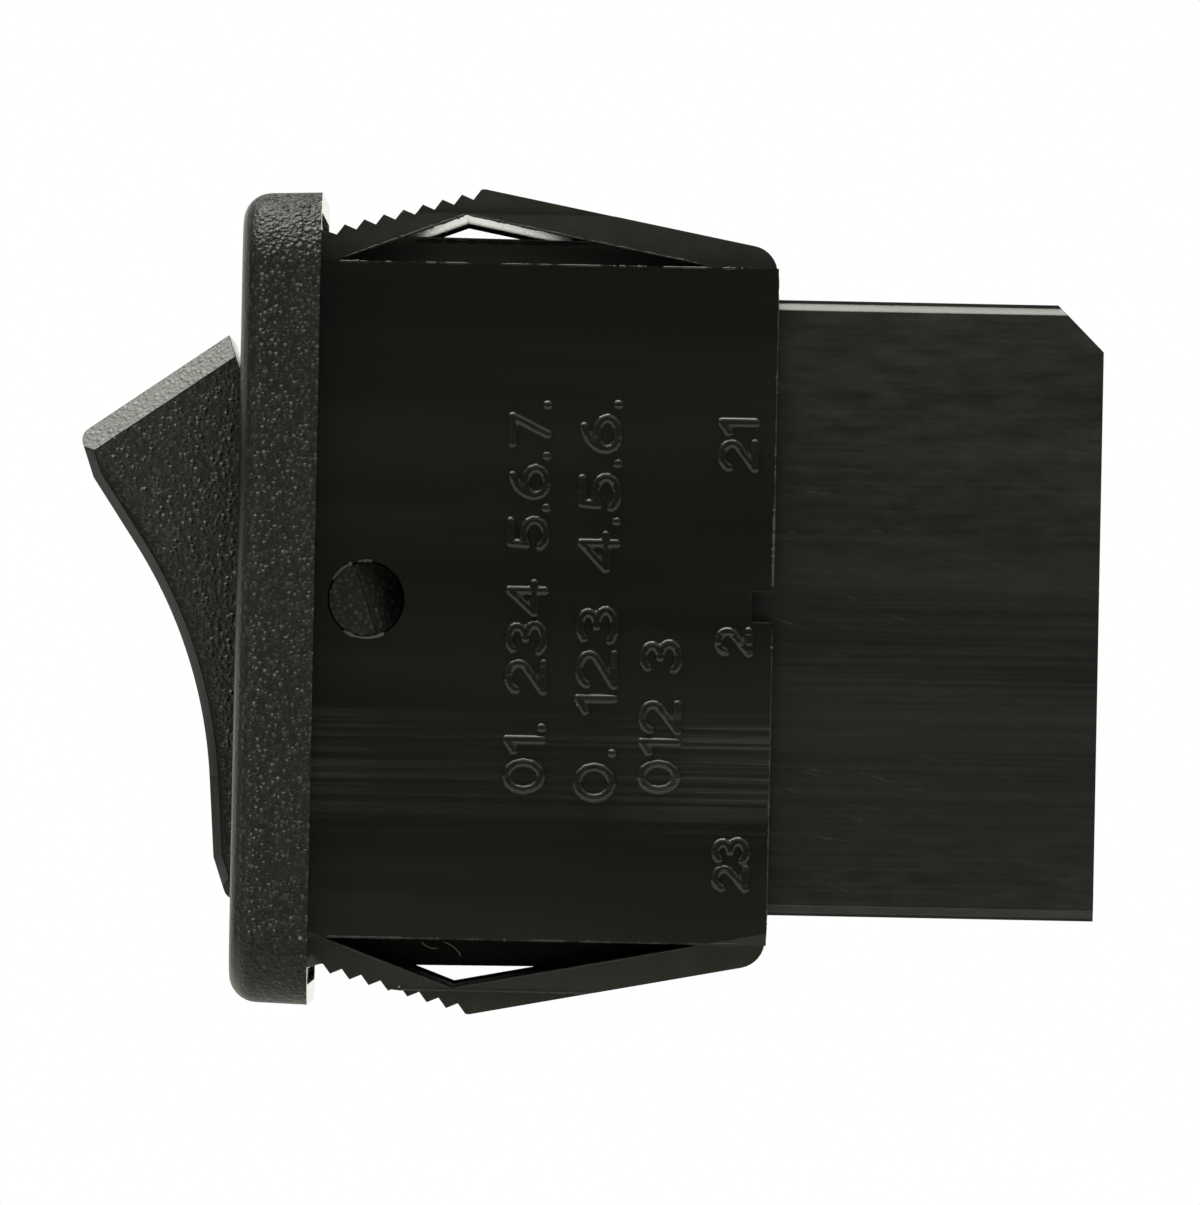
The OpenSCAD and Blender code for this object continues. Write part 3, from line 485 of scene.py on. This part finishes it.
# Painted light: paler than the side, for the upper end block, which lies in the upper wing's shade.
LIT_BLOCK = smooth_black("painted_light_block", (0.110, 0.107, 0.094), 0.45)
# Painted shade: matt and darker than the side, for the lower wing's inner side, its end block and the webs.
SHADE_MATT = smooth_black("painted_shade_matt", darker(SIDE_BLACK, 0.3), 0.6, DULL_SHINE)
SIDE = glossy_side()
SHROUD = drawn_shroud()
LINT = smooth_black("lint", (0.16, 0.155, 0.145), 0.6, DULL_SHINE)

FINISH_OF = {
    "base_plastic": thermoset(),
    "plunger_nylon": natural_nylon(),
    "spring_steel": rolled_metal("spring_wire", (0.55, 0.56, 0.58), (0.40, 0.40, 0.41), 0.3, 1),
    "terminal_brass": rolled_metal("brass_strip", (0.74, 0.59, 0.30), (0.46, 0.33, 0.15), 0.3, 1),
    "blade_copper": rolled_metal("copper_strip", (0.74, 0.44, 0.28), (0.42, 0.22, 0.13), 0.3, 2),
    "contact_silver": rolled_metal("silver_rivet", (0.82, 0.81, 0.78), (0.52, 0.50, 0.46), 0.28, 0),
}


# ---------- pieces ----------

def show(name, mesh, body):
    """Adds a piece that moves with a body and takes its finish from a slot."""
    piece = bpy.data.objects.new(name, mesh)
    bpy.context.scene.collection.objects.link(piece)
    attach(piece, body)
    return piece


def put_faces(mesh, points, faces):
    """Fills a mesh that is a closed shell, and turns its faces outwards."""
    mesh.from_pydata(points.tolist(), [], faces)
    work = bmesh.new()
    work.from_mesh(mesh)
    bmesh.ops.recalc_face_normals(work, faces=work.faces)
    work.to_mesh(mesh)
    work.free()


def merged_copy(node, name, cut=None, reshape=None):
    """A copy of a moulding's mesh with its loose triangles joined and its flat faces made whole.

    cut may first add points and edges. reshape may move points: it takes and gives a table of x, y, z."""
    mesh = NODES[node].data.copy()
    mesh.name = name
    work = bmesh.new()
    work.from_mesh(mesh)
    bmesh.ops.remove_doubles(work, verts=work.verts, dist=SAME_POINT)
    if cut:
        cut(work)
    work.to_mesh(mesh)
    if reshape:
        points = np.empty(len(mesh.vertices) * 3)
        mesh.vertices.foreach_get("co", points)
        mesh.vertices.foreach_set("co", reshape(points.reshape(-1, 3)).ravel())
        work.clear()
        work.from_mesh(mesh)
        bmesh.ops.remove_doubles(work, verts=work.verts, dist=SAME_POINT)
    bmesh.ops.dissolve_limit(work, angle_limit=SAME_FACE, verts=work.verts, edges=work.edges)
    work.to_mesh(mesh)
    work.free()
    return mesh


def corner_planes(side, end):
    """The planes that cut one corner of the flange, each as a place and a normal.

    One every few degrees runs through the new corner's axis, then one lies across at each step of the rim's
    rounded front edge."""
    turn_count, step_count = 13, 8
    axis = (side * (FLANGE_X - CORNER_R), 0.0, end * (FLANGE_Z - CORNER_R))
    turns = np.radians(np.linspace(0.0, 90.0, turn_count))
    steps = np.linspace(0.0, math.pi / 2 - math.atan(FLANGE_LEAN), step_count + 1)[1:]
    planes = [(axis, (-side * math.sin(turn), 0.0, end * math.cos(turn))) for turn in turns]
    for step in steps:
        planes.append(((0.0, BEZEL_FRONT + FLANGE_ROUND * (1.0 - math.cos(step)), 0.0), (0.0, 1.0, 0.0)))
    return planes


def cut_corners(work):
    """Cuts the flange's faces near its four corners, so that they can follow a larger radius."""
    in_front = -0.01 * MM
    on_plane = 0.0001 * MM
    for side in (1.0, -1.0):
        for end in (1.0, -1.0):
            for place, normal in corner_planes(side, end):
                faces = [face for face in work.faces if face.calc_center_median().y < in_front
                         and max(side * vert.co.x for vert in face.verts) > FLANGE_X - 2 * CORNER_R
                         and max(end * vert.co.z for vert in face.verts) > FLANGE_Z - 2 * CORNER_R]
                edges = {edge for face in faces for edge in face.edges}
                verts = {vert for face in faces for vert in face.verts}
                bmesh.ops.bisect_plane(work, geom=[*verts, *edges, *faces], dist=on_plane, plane_co=place,
                                       plane_no=normal)


def corner_depth(across, up, radius):
    """How deep places lie inside a rectangle with round corners of a radius, as large as the flange."""
    side = across - (FLANGE_X - radius)
    end = up - (FLANGE_Z - radius)
    outside = np.hypot(np.maximum(side, 0.0), np.maximum(end, 0.0))
    return radius - outside - np.minimum(np.maximum(side, end), 0.0)


def round_flange(points):
    """Rounds the flange's corners to a larger radius, with the rim's section swept round them.

    A place near a corner keeps its depth below the rim, or takes the section's depth where that is more:
    the section leans in by FLANGE_LEAN, then follows a circle of radius FLANGE_ROUND to the front face."""
    across, up = np.abs(points[:, 0]), np.abs(points[:, 2])
    into_round = np.clip((BEZEL_FRONT - points[:, 1]) / FLANGE_ROUND + 1.0, 0.0, 1.0)
    section = np.where(into_round > FLANGE_LEAN, FLANGE_RIM - FLANGE_ROUND * np.sqrt(1.0 - into_round ** 2),
                       -FLANGE_LEAN * points[:, 1])
    depth = np.maximum(corner_depth(across, up, FLANGE_CORNER), section)
    side, end = across - (FLANGE_X - CORNER_R), up - (FLANGE_Z - CORNER_R)
    near = (points[:, 1] < 0.001 * MM) & (side > 0.0) & (end > 0.0) & (depth < 0.6 * CORNER_R)
    away = np.hypot(side, end) + 1e-9
    moved = points.copy()
    moved[near, 0] = (np.sign(points[:, 0]) * (FLANGE_X - CORNER_R + side / away * (CORNER_R - depth)))[near]
    moved[near, 2] = (np.sign(points[:, 2]) * (FLANGE_Z - CORNER_R + end / away * (CORNER_R - depth)))[near]
    return moved


def draw_in_corner(points):
    """Draws one stray corner of each cheek, at the upper end of the dish, back onto the chamfer's edge."""
    beside = np.hypot(points[:, 1] - DISH_END[0], points[:, 2] - DISH_END[1]) < 0.01 * MM
    stray = beside & (np.abs(points[:, 0]) > CHEEK_X - 0.01 * MM)
    moved = points.copy()
    moved[stray, 1:] = CHAMFER_END
    return moved


def crease_shroud(points):
    """Turns the shroud's rounded long edges into a narrow chamfer with a small upright band beyond it.

    Each point of the round moves across and up to shares of the radius, by its angle in degrees."""
    across, up = np.abs(points[:, 0]), np.abs(points[:, 2])
    near = 0.02 * MM
    middle = np.array([shroud_high.x - SHROUD_EDGE, shroud_high.z - SHROUD_EDGE])
    turn = np.degrees(np.arctan2(up - middle[1], across - middle[0]))
    beyond = (across >= middle[0] - 1e-6) & (up >= middle[1] - 1e-6)
    on_round = beyond & (np.abs(np.hypot(across - middle[0], up - middle[1]) - SHROUD_EDGE) < near)
    angles = [0.0, 11.25, 45.0, 67.5, 90.0]
    new_across = middle[0] + np.interp(turn, angles, [1.0, 1.0, 0.5, 0.5, 0.0]) * SHROUD_EDGE
    new_up = middle[1] + np.interp(turn, angles, [0.0, 0.22, 0.72, 1.0, 1.0]) * SHROUD_EDGE
    slanted = on_round & (points[:, 2] > 0) & (np.abs(points[:, 1] + points[:, 2] - SHROUD_SLANT) < near)
    moved = points.copy()
    moved[on_round, 0] = (np.sign(points[:, 0]) * new_across)[on_round]
    moved[on_round, 2] = (np.sign(points[:, 2]) * new_up)[on_round]
    moved[slanted, 1] = (SHROUD_SLANT - new_up)[slanted]
    return moved


def finished(node, edge_width, finishes, segments=2, cut=None, reshape=None):
    """A piece that stands for one solid: the same form, with its sharp edges broken and its flats kept flat.

    The first of the finishes is for its faces and the last for the broken edges. set_finishes deals out any
    others."""
    name = node + "_skin"
    mesh = merged_copy(node, name, cut, reshape)
    mesh.materials.clear()
    for finish in finishes:
        mesh.materials.append(finish)
    mesh.polygons.foreach_set("material_index", np.zeros(len(mesh.polygons), np.int32))
    mesh.shade_smooth()
    piece = show(name, mesh, NODES[node]["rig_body"])
    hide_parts(node)
    broken = piece.modifiers.new("broken_edges", "BEVEL")
    broken.width = edge_width
    broken.segments = segments
    broken.limit_method = "ANGLE"
    broken.angle_limit = math.radians(28.0)
    broken.face_strength_mode = "FSTR_ALL"
    broken.material = len(finishes) - 1
    flats = piece.modifiers.new("flat_faces", "WEIGHTED_NORMAL")
    flats.use_face_influence = True
    return piece


def face_table(mesh):
    """The middle and the outward normal of every face, as two tables of x, y, z."""
    middles = np.empty(len(mesh.polygons) * 3)
    normals = np.empty(len(mesh.polygons) * 3)
    mesh.polygons.foreach_get("center", middles)
    mesh.polygons.foreach_get("normal", normals)
    return middles.reshape(-1, 3), normals.reshape(-1, 3)


def set_finishes(mesh, finishes, tests):
    """Gives each face the finish of the first test that it passes, or else the first finish."""
    numbers = [finishes.index(finish) for finish, _ in tests]
    choice = np.select([test for _, test in tests], numbers, 0)
    mesh.polygons.foreach_set("material_index", choice.astype(np.int32))


def dress_housing():
    """The housing: grained in front of the panel and glossy behind it.

    The upper wing's inner side and the flange's rear face are polished, the lower wing's inner side and end
    block matt and painted dark as shade, and the upper end block painted paler as light."""
    finishes = [SIDE, BEZEL, POLISHED, SHADE_MATT, LIT_BLOCK, EDGE]
    piece = finished("housing", 0.07 * MM, finishes, cut=cut_corners, reshape=round_flange)
    middle, normal = face_table(piece.data)
    in_front = middle[:, 1] < -0.1 * MM
    off_side = np.abs(middle[:, 2]) > SIDE_TOP + 0.1 * MM
    inward = off_side & (np.sign(middle[:, 2]) * normal[:, 2] < -0.5) & (middle[:, 1] > 0.1 * MM)
    rear_face = (normal[:, 1] > 0.99) & (np.abs(middle[:, 1]) < 0.1 * MM)
    lower = middle[:, 2] < 0
    block = off_side & (np.abs(np.abs(middle[:, 0]) - END_BLOCK_X) < 0.1 * MM)
    set_finishes(piece.data, finishes, [(BEZEL, in_front), (SHADE_MATT, (inward | block) & lower), (LIT_BLOCK, block),
                                        (POLISHED, inward | rear_face)])


def dress_rocker():
    """The rocker: grained cheeks, rubbed end bevels and bosses, polished rear faces, and dull broken edges
    painted dark as shade.
    """
    finishes = [CHEEK, RUBBED, POLISHED, SHADED_EDGE]
    piece = finished("rocker", 0.09 * MM, finishes, segments=3, reshape=draw_in_corner)
    middle, normal = face_table(piece.data)
    slanted = (np.abs(normal[:, 0]) > 0.3) & (np.abs(normal[:, 0]) < 0.9)
    on_pivot = np.hypot(middle[:, 1] - PIVOT.y, middle[:, 2] - PIVOT.z) < 2.0 * MM
    boss = on_pivot & (np.abs(middle[:, 0]) > CHEEK_X + 0.1 * MM)
    rear = normal[:, 1] * math.cos(REST_TILT) + np.abs(normal[:, 2]) * math.sin(REST_TILT) > 0.9
    set_finishes(piece.data, finishes, [(RUBBED, boss | slanted), (POLISHED, rear)])


def dress_all():
    """Every solid gets its finish and its broken edges."""
    dress_housing()
    dress_rocker()
    finished("terminal_shroud", 0.05 * MM, [SHROUD, EDGE], reshape=crease_shroud)
    for node in sorted(NODES):
        if node not in ("housing", "rocker", "terminal_shroud"):
            width = 0.01 * MM if node.startswith("plunger") else 0.03 * MM
            finished(node, width, [FINISH_OF[SLOT_OF[node]]])


def arc(middle_u, middle_v, half_u, half_v, start, end):
    """Points on part of an ellipse, from one angle to another in degrees."""
    turn = np.radians(np.linspace(start, end, 13))
    return np.column_stack([middle_u + half_u * np.cos(turn), middle_v + half_v * np.sin(turn)])


def corners(*places):
    """Points of a stroke with straight parts."""
    return np.array(places)


# Each numeral as strokes in a box one high, with its width
NUMERALS = {
    "0": (0.62, [arc(0.31, 0.5, 0.31, 0.5, 0, 360)]),
    "1": (0.24, [corners((0.0, 0.8), (0.24, 1.0), (0.24, 0.0))]),
    "2": (0.62, [np.vstack([arc(0.31, 0.7, 0.3, 0.3, 165, -35), corners((0.0, 0.0), (0.62, 0.0))])]),
    "3": (0.6, [arc(0.28, 0.76, 0.27, 0.24, 150, -90), arc(0.28, 0.26, 0.32, 0.26, 90, -150)]),
    "4": (0.66, [corners((0.5, 0.0), (0.5, 1.0), (0.0, 0.3), (0.66, 0.3))]),
    "5": (0.6, [np.vstack([corners((0.56, 1.0), (0.08, 1.0), (0.05, 0.55)),
                           arc(0.28, 0.32, 0.32, 0.32, 125, -150)])]),
    "6": (0.62, [np.vstack([arc(0.6, 0.34, 0.6, 0.66, 105, 180), arc(0.31, 0.31, 0.31, 0.31, 180, 540)])]),
    "7": (0.6, [corners((0.0, 1.0), (0.6, 1.0), (0.22, 0.0))]),
    ".": (0.02, [corners((0.01, 0.0), (0.01, 0.02))]),
    " ": (0.3, []),
}


def stroke_segments(words, gap):
    """The starts and ends of all straight bits of a row of numerals one high, and the row's length."""
    starts, ends = [], []
    across = 0.0
    for letter in words:
        width, strokes = NUMERALS[letter]
        for stroke in strokes:
            shifted = stroke + (across, 0.0)
            starts.append(shifted[:-1])
            ends.append(shifted[1:])
        across += width + gap
    return np.vstack(starts), np.vstack(ends), across - gap


def nearest_stroke(places, starts, ends):
    """The distance from each place to the nearest straight bit, by dropping a perpendicular on each."""
    along = ends - starts
    length = (along ** 2).sum(1) + 1e-12
    nearest = np.full(len(places), np.inf)
    for start, way, square in zip(starts, along, length):
        share = np.clip(((places - start) @ way) / square, 0.0, 1.0)
        nearest = np.minimum(nearest, np.hypot(*(places - start - share[:, None] * way).T))
    return nearest


def add_numerals(name, words, y, z, height, length, half_stroke=0.21 * MM, relief=0.15 * MM):
    """One row of raised numerals on the near side wall, with its middle at y and z.

    They read upwards, and their tops face the bezel. The surface stands relief * (1 - (d / r) ** 3) off the
    wall, with d the distance to the middle of the nearest stroke and r half a stroke's width, and it runs on
    below the wall's face, so that the wall cuts a clean outline."""
    gap, margin, pitch = 0.26, 0.1 * MM, 0.036 * MM
    starts, ends, natural = stroke_segments(words, gap)
    size = np.array([(length - 2 * half_stroke) / natural, height - 2 * half_stroke])
    middle = np.array([natural, 1.0]) / 2
    starts, ends = (starts - middle) * size, (ends - middle) * size
    reach = half_stroke * 1.22
    columns = np.arange(-length / 2 - margin, length / 2 + margin, pitch)
    rows = np.arange(-height / 2 - margin, height / 2 + margin, pitch)
    u, v = np.meshgrid(columns, rows, indexing="ij")
    away = nearest_stroke(np.column_stack([u.ravel(), v.ravel()]), starts, ends)
    uneven = 0.72 + 0.28 * wander(len(columns), 40, len(words))
    lift = np.repeat(uneven, len(rows)) * relief * (1.0 - (away / half_stroke) ** 3)
    points = np.column_stack([SIDE_X + lift, y - v.ravel(), z + u.ravel()])
    number = np.arange(u.size).reshape(u.shape)
    quads = np.stack([number[:-1, :-1], number[:-1, 1:], number[1:, 1:], number[1:, :-1]],
                     axis=-1).reshape(-1, 4)
    quads = quads[(away[quads] < reach).all(1)]
    used, slim = np.unique(quads, return_inverse=True)
    mesh = bpy.data.meshes.new(name)
    mesh.from_pydata(points[used].tolist(), [], slim.reshape(-1, 4)[:, ::-1].tolist())
    mesh.materials.append(SIDE)
    mesh.shade_smooth()
    piece = show(name, mesh, "body")
    backing = piece.modifiers.new("backing", "SOLIDIFY")
    backing.thickness = 0.05 * MM
    backing.offset = -1.0


def add_markings():
    """Plain numerals in the places where such a switch is marked."""
    high = 1.78 * MM
    add_numerals("numerals_row_1", "01. 234 5.6.7.", 8.25 * MM, 0.2 * MM, high, 15.4 * MM)
    add_numerals("numerals_row_2", "0. 123 4.5.6.", 11.0 * MM, 0.1 * MM, high, 15.75 * MM)
    add_numerals("numerals_row_3", "012 3", 13.5 * MM, -4.35 * MM, high, 6.1 * MM)
    add_numerals("terminal_numeral_21", "21", 16.35 * MM, 6.25 * MM, 1.7 * MM, 2.2 * MM)
    add_numerals("terminal_numeral_2", "2", 16.3 * MM, -1.38 * MM, 1.6 * MM, 1.25 * MM)
    add_numerals("terminal_numeral_23", "23", 16.35 * MM, -10.05 * MM, 1.6 * MM, 2.25 * MM)


def tube_mesh(name, path, half_x, half_y, sides=8):
    """A closed tube with pointed ends: at each point of the path an ellipse, half_x by half_y across.

    The ellipse lies in the plane of X and of the sideways direction, which is the path's own direction in
    the YZ plane turned by a quarter."""
    along = np.gradient(path, axis=0)
    along /= np.linalg.norm(along, axis=1, keepdims=True)
    sideways = np.column_stack([np.zeros(len(path)), -along[:, 2], along[:, 1]])
    turn = np.linspace(0.0, 2 * math.pi, sides, endpoint=False)
    ring = (half_x[:, None, None] * np.cos(turn)[None, :, None] * np.array([1.0, 0.0, 0.0])
            + half_y[:, None, None] * np.sin(turn)[None, :, None] * sideways[:, None, :])
    points = (path[:, None, :] + ring).reshape(-1, 3)
    step, side = np.meshgrid(np.arange(len(path) - 1), np.arange(sides), indexing="ij")
    beside = (side + 1) % sides
    walls = np.stack([step * sides + side, step * sides + beside, (step + 1) * sides + beside,
                      (step + 1) * sides + side], axis=-1).reshape(-1, 4)
    start = np.arange(sides)[::-1]
    end = (len(path) - 1) * sides + np.arange(sides)
    mesh = bpy.data.meshes.new(name)
    put_faces(mesh, points, walls.tolist() + [start.tolist(), end.tolist()])
    mesh.shade_smooth()
    return mesh


def wander(count, smooth, seed):
    """Smooth random numbers between 0 and 1: white noise averaged over a few neighbours, stretched to fit."""
    raw = np.random.default_rng(seed).random(count + smooth - 1)
    level = np.convolve(raw, np.ones(smooth) / smooth, mode="valid")
    return (level - level.min()) / np.ptp(level)


def straight(start, end, count=320):
    """Points in a straight line between two places, which are given in millimetres."""
    return MM * (np.array(start) + (np.array(end) - np.array(start)) * np.linspace(0.0, 1.0, count)[:, None])


def add_bead(name, path, seed, thickness=1.0, finish=EDGE):
    """A ragged bead along an edge, such as moulding flash: its width wanders, with a few torn lumps."""
    count = len(path)
    share = np.linspace(0.0, 1.0, count)
    taper = np.clip(np.minimum(share, 1.0 - share) * 30.0, 0.05, 1.0)
    lumps = wander(count, 3, seed + 1) ** 12 * 0.05 * MM
    width = (thickness * (0.016 * MM + 0.035 * MM * wander(count, 11, seed)) + lumps) * taper
    mesh = tube_mesh(name, path, width * 0.8, width)
    mesh.materials.append(finish)
    show(name, mesh, "body")


def add_edge_flash():
    """Flash round the near side wall: its rear edge beside the notch, the notch, and both long edges. The
    rear edge's flash is painted pale as a highlight.

    Its places are in millimetres, as straight takes them."""
    x, rear, notch_end, notch_half, long_edge = 10.87, 17.785, 16.94, 0.62, 13.12
    for side, word, seed in ((1.0, "upper", 5), (-1.0, "lower", 8)):
        add_bead(f"flash_rear_{word}", straight((x, rear, side * 0.72), (x, rear, side * 12.95)), seed, 1.0,
                 LIT_EDGE)
        z = side * notch_half
        add_bead(f"flash_notch_{word}", straight((x, notch_end, z), (x, rear, z)), seed + 12, 0.9)
        add_bead(f"flash_side_{word}", straight((x, 0.3, side * long_edge), (x, 17.5, side * long_edge)),
                 seed + 6, 1.15)
    add_bead("flash_notch_end", straight((x, notch_end, -0.6), (x, notch_end, 0.6)), 25, 0.8)
    add_bead("flash_rear_lump", straight((x, rear, 0.75), (x, rear, 3.6)), 27, 1.7, LIT_EDGE)


def add_rim_flash():
    """Flash on three stretches of the near pivot hole's rim, each between two angles in degrees round the
    pivot's axis, painted pale as a highlight. Its lengths are in millimetres."""
    x, radius, count = 10.89, 1.5, 80
    middle = PIVOT / MM
    stretches = (("flash_hole_upper", 82.0, 104.0, 41), ("flash_hole_front", 112.0, 150.0, 45),
                 ("flash_hole_lower", 235.0, 300.0, 43))
    for name, start, end, seed in stretches:
        turn = np.radians(np.linspace(start, end, count))
        path = MM * np.column_stack([np.full(count, x), middle.y + radius * np.cos(turn),
                                     middle.z + radius * np.sin(turn)])
        add_bead(name, path, seed, 1.5, LIT_EDGE)


def add_wing_beads():
    """Beads along the near edges of the wings' inner faces, the lower wing's step and the upper end block.

    Its places are in millimetres, as straight takes them."""
    x, block_x, step_z, block_z = 10.08, 8.48, -15.1, 14.02
    for end, word, seed in ((1.0, "upper", 20), (-1.0, "lower", 22)):
        places = []
        for y in (0.7 * MM, WING_PEAK[0], 14.9 * MM):
            z = min(WING_FRONT_Z + WING_CLIMB * y, WING_REAR_Z - WING_FALL * y) / MM + 0.02
            places.append((x, y / MM, end * z))
        add_bead(f"bead_front_{word}", straight(places[0], places[1]), seed, 1.6)
        add_bead(f"bead_rear_{word}", straight(places[1], places[2]), seed + 1, 1.6)
    add_bead("bead_step", straight((x, 3.1, step_z), (x, 11.3, step_z)), 31, 1.6)
    add_bead("bead_block", straight((block_x, 3.4, block_z), (block_x, 12.4, block_z)), 33, 2.0)


def add_webs():
    """A low web on each wing's inner face, on the far half: it follows the face and runs out at both ends."""
    front, rear = 3.3 * MM, 10.4 * MM
    y = np.array([front, 3.9 * MM, WING_PEAK[0], 9.2 * MM, rear])
    drop = np.array([0.03, 0.13, 0.13, 0.13, 0.03]) * MM
    face = np.minimum(WING_FRONT_Z + WING_CLIMB * y, WING_REAR_Z - WING_FALL * y)
    outline = np.column_stack([np.append(y, y[::-1]), np.append(face + 0.05 * MM, (face - drop)[::-1])])
    count = len(outline)
    here = np.arange(count)
    walls = np.column_stack([here, (here + 1) % count, (here + 1) % count + count, here + count])
    for end, word in ((1.0, "upper"), (-1.0, "lower")):
        points = np.vstack([np.column_stack([np.full(count, x * MM), outline[:, 0], end * outline[:, 1]])
                            for x in (-5.6, -5.0)])
        mesh = bpy.data.meshes.new("wing_web_" + word)
        put_faces(mesh, points, walls.tolist() + [here.tolist(), (here + count).tolist()])
        # Painted shade: the web is matt and dark.
        mesh.materials.append(SHADE_MATT)
        show("wing_web_" + word, mesh, "body")


def add_hairs():
    """Two short fibres caught behind the lower wing: cubics through a few places."""
    near = MM * np.array([[9.9, 5.25, -13.25], [9.95, 5.55, -13.37], [10.0, 5.82, -13.58],
                          [9.9, 5.96, -13.84]])
    far = MM * np.array([[9.5, 4.4, -13.2], [9.5, 4.55, -13.4], [9.4, 4.8, -13.5], [9.4, 5.05, -13.5]])
    share = np.linspace(0.0, 1.0, 40)
    known = np.linspace(0.0, 1.0, 4)
    for name, bends in (("lint_fibre_1", near), ("lint_fibre_2", far)):
        path = np.column_stack([np.polyval(np.polyfit(known, bends[:, axis], 3), share) for axis in range(3)])
        thick = 0.02 * MM * np.clip(np.minimum(share, 1.0 - share) * 8.0, 0.2, 1.0)
        mesh = tube_mesh(name, path, thick, thick)
        mesh.materials.append(LINT)
        show(name, mesh, "body")


# ---------- stage ----------

# The lamp and the surround share a slightly warm white
SOFT_TINT = (1.0, 1.0, 0.92, 1.0)


def studio_world():
    """A soft surround: white low behind the switch, pale above its near side, dim at both ends and dark
    elsewhere. The camera sees plain white instead."""
    world = bpy.data.worlds.new("studio")
    bpy.context.scene.world = world
    world.use_nodes = True
    tree = world.node_tree
    tree.nodes.clear()
    parts = axes_of(tree, put(tree, "ShaderNodeTexCoord").outputs["Generated"])
    backdrop = maths(tree, "MULTIPLY", ramp(tree, parts[0], -0.1, -0.5, 0.0, 1.15),
                     ramp(tree, parts[2], 0.45, 0.2))
    above = maths(tree, "MULTIPLY", ramp(tree, parts[2], 0.2, 0.85, 0.0, 0.8),
                  ramp(tree, parts[0], -0.3, 0.1))
    sides = ramp(tree, maths(tree, "ABSOLUTE", parts[1]), 0.6, 0.98, 0.065, 0.14)
    level = maths(tree, "MAXIMUM", backdrop, maths(tree, "MAXIMUM", sides, above))
    path = put(tree, "ShaderNodeLightPath")
    soft = put(tree, "ShaderNodeBackground", {"Color": SOFT_TINT, "Strength": level})
    white = put(tree, "ShaderNodeBackground", {"Color": (1.0, 1.0, 1.0, 1.0), "Strength": 1.0})
    choose = put(tree, "ShaderNodeMixShader", {0: path.outputs["Is Camera Ray"], 1: soft.outputs[0],
                                               2: white.outputs[0]})
    end = put(tree, "ShaderNodeOutputWorld")
    tree.links.new(choose.outputs[0], end.inputs["Surface"])


def add_floor():
    """A pale disc under the object, as rings of points round a middle. The camera sees it as white."""
    rings, spokes, radius, level = 6, 64, 0.26, -0.046
    turn = np.linspace(0.0, 2 * math.pi, spokes, endpoint=False)
    out = np.linspace(0.0, radius, rings + 1)[1:]
    ring_points = np.stack([out[:, None] * np.cos(turn), out[:, None] * np.sin(turn),
                            np.full((rings, spokes), level)], axis=-1).reshape(-1, 3)
    points = np.vstack([[0.0, 0.0, level], ring_points])
    here = np.arange(spokes)
    there = (here + 1) % spokes
    fan = np.column_stack([np.zeros(spokes, int), 1 + here, 1 + there])
    low = 1 + np.arange(rings - 1)[:, None] * spokes
    quads = np.stack([low + here, low + spokes + here, low + spokes + there, low + there],
                     axis=-1).reshape(-1, 4)
    mesh = bpy.data.meshes.new("floor")
    mesh.from_pydata(points.tolist(), [], fan.tolist() + quads.tolist())
    material, tree, shader, _ = new_material("floor_pale", (0.42, 0.42, 0.41), 0.9)
    path = put(tree, "ShaderNodeLightPath")
    plug(tree, shader, Emission_Strength=maths(tree, "MULTIPLY", path.outputs["Is Camera Ray"], 0.5))
    shader.inputs["Emission Color"].default_value = (1.0, 1.0, 1.0, 1.0)
    mesh.materials.append(material)
    floor = bpy.data.objects.new("floor", mesh)
    bpy.context.scene.collection.objects.link(floor)


def add_softbox(name, place, width, length, power):
    """A rectangular lamp that faces straight down, width along X and length along Y."""
    lamp = bpy.data.lights.new(name, "AREA")
    lamp.shape = "RECTANGLE"
    lamp.size, lamp.size_y = width, length
    lamp.energy = power
    lamp.color = SOFT_TINT[:3]
    holder = bpy.data.objects.new(name, lamp)
    bpy.context.scene.collection.objects.link(holder)
    holder.location = place
    holder.visible_camera = False


def add_camera():
    """A long lens level with the switch, looking along -X at its side, rolled by about one degree."""
    aim_y, aim_z = 0.01109, 0.000137
    away, lower = 0.8, 0.006
    stand = Vector((away, aim_y, aim_z - lower))
    target = Vector((0.0, aim_y, aim_z))
    roll = math.radians(1.127)
    ahead = (target - stand).normalized()
    right = Vector((0.0, math.cos(roll), math.sin(roll)))
    right = (right - right.dot(ahead) * ahead).normalized()
    up = right.cross(ahead)
    lens = bpy.data.cameras.new("camera")
    lens.sensor_width = 36.0
    lens.lens = 607.1
    lens.clip_start, lens.clip_end = 0.01, 20.0
    camera = bpy.data.objects.new("camera", lens)
    bpy.context.scene.collection.objects.link(camera)
    turned = Matrix((right, up, -ahead)).transposed().to_4x4()
    camera.matrix_world = Matrix.Translation(stand) @ turned
    bpy.context.scene.camera = camera


dress_all()
add_markings()
add_edge_flash()
add_rim_flash()
add_wing_beads()
add_webs()
add_hairs()
studio_world()
add_floor()
add_softbox("top_softbox", place=(-0.06, -0.15, 0.46), width=0.36, length=0.56, power=5.7)
add_camera()
bpy.context.scene.view_settings.view_transform = "Standard"
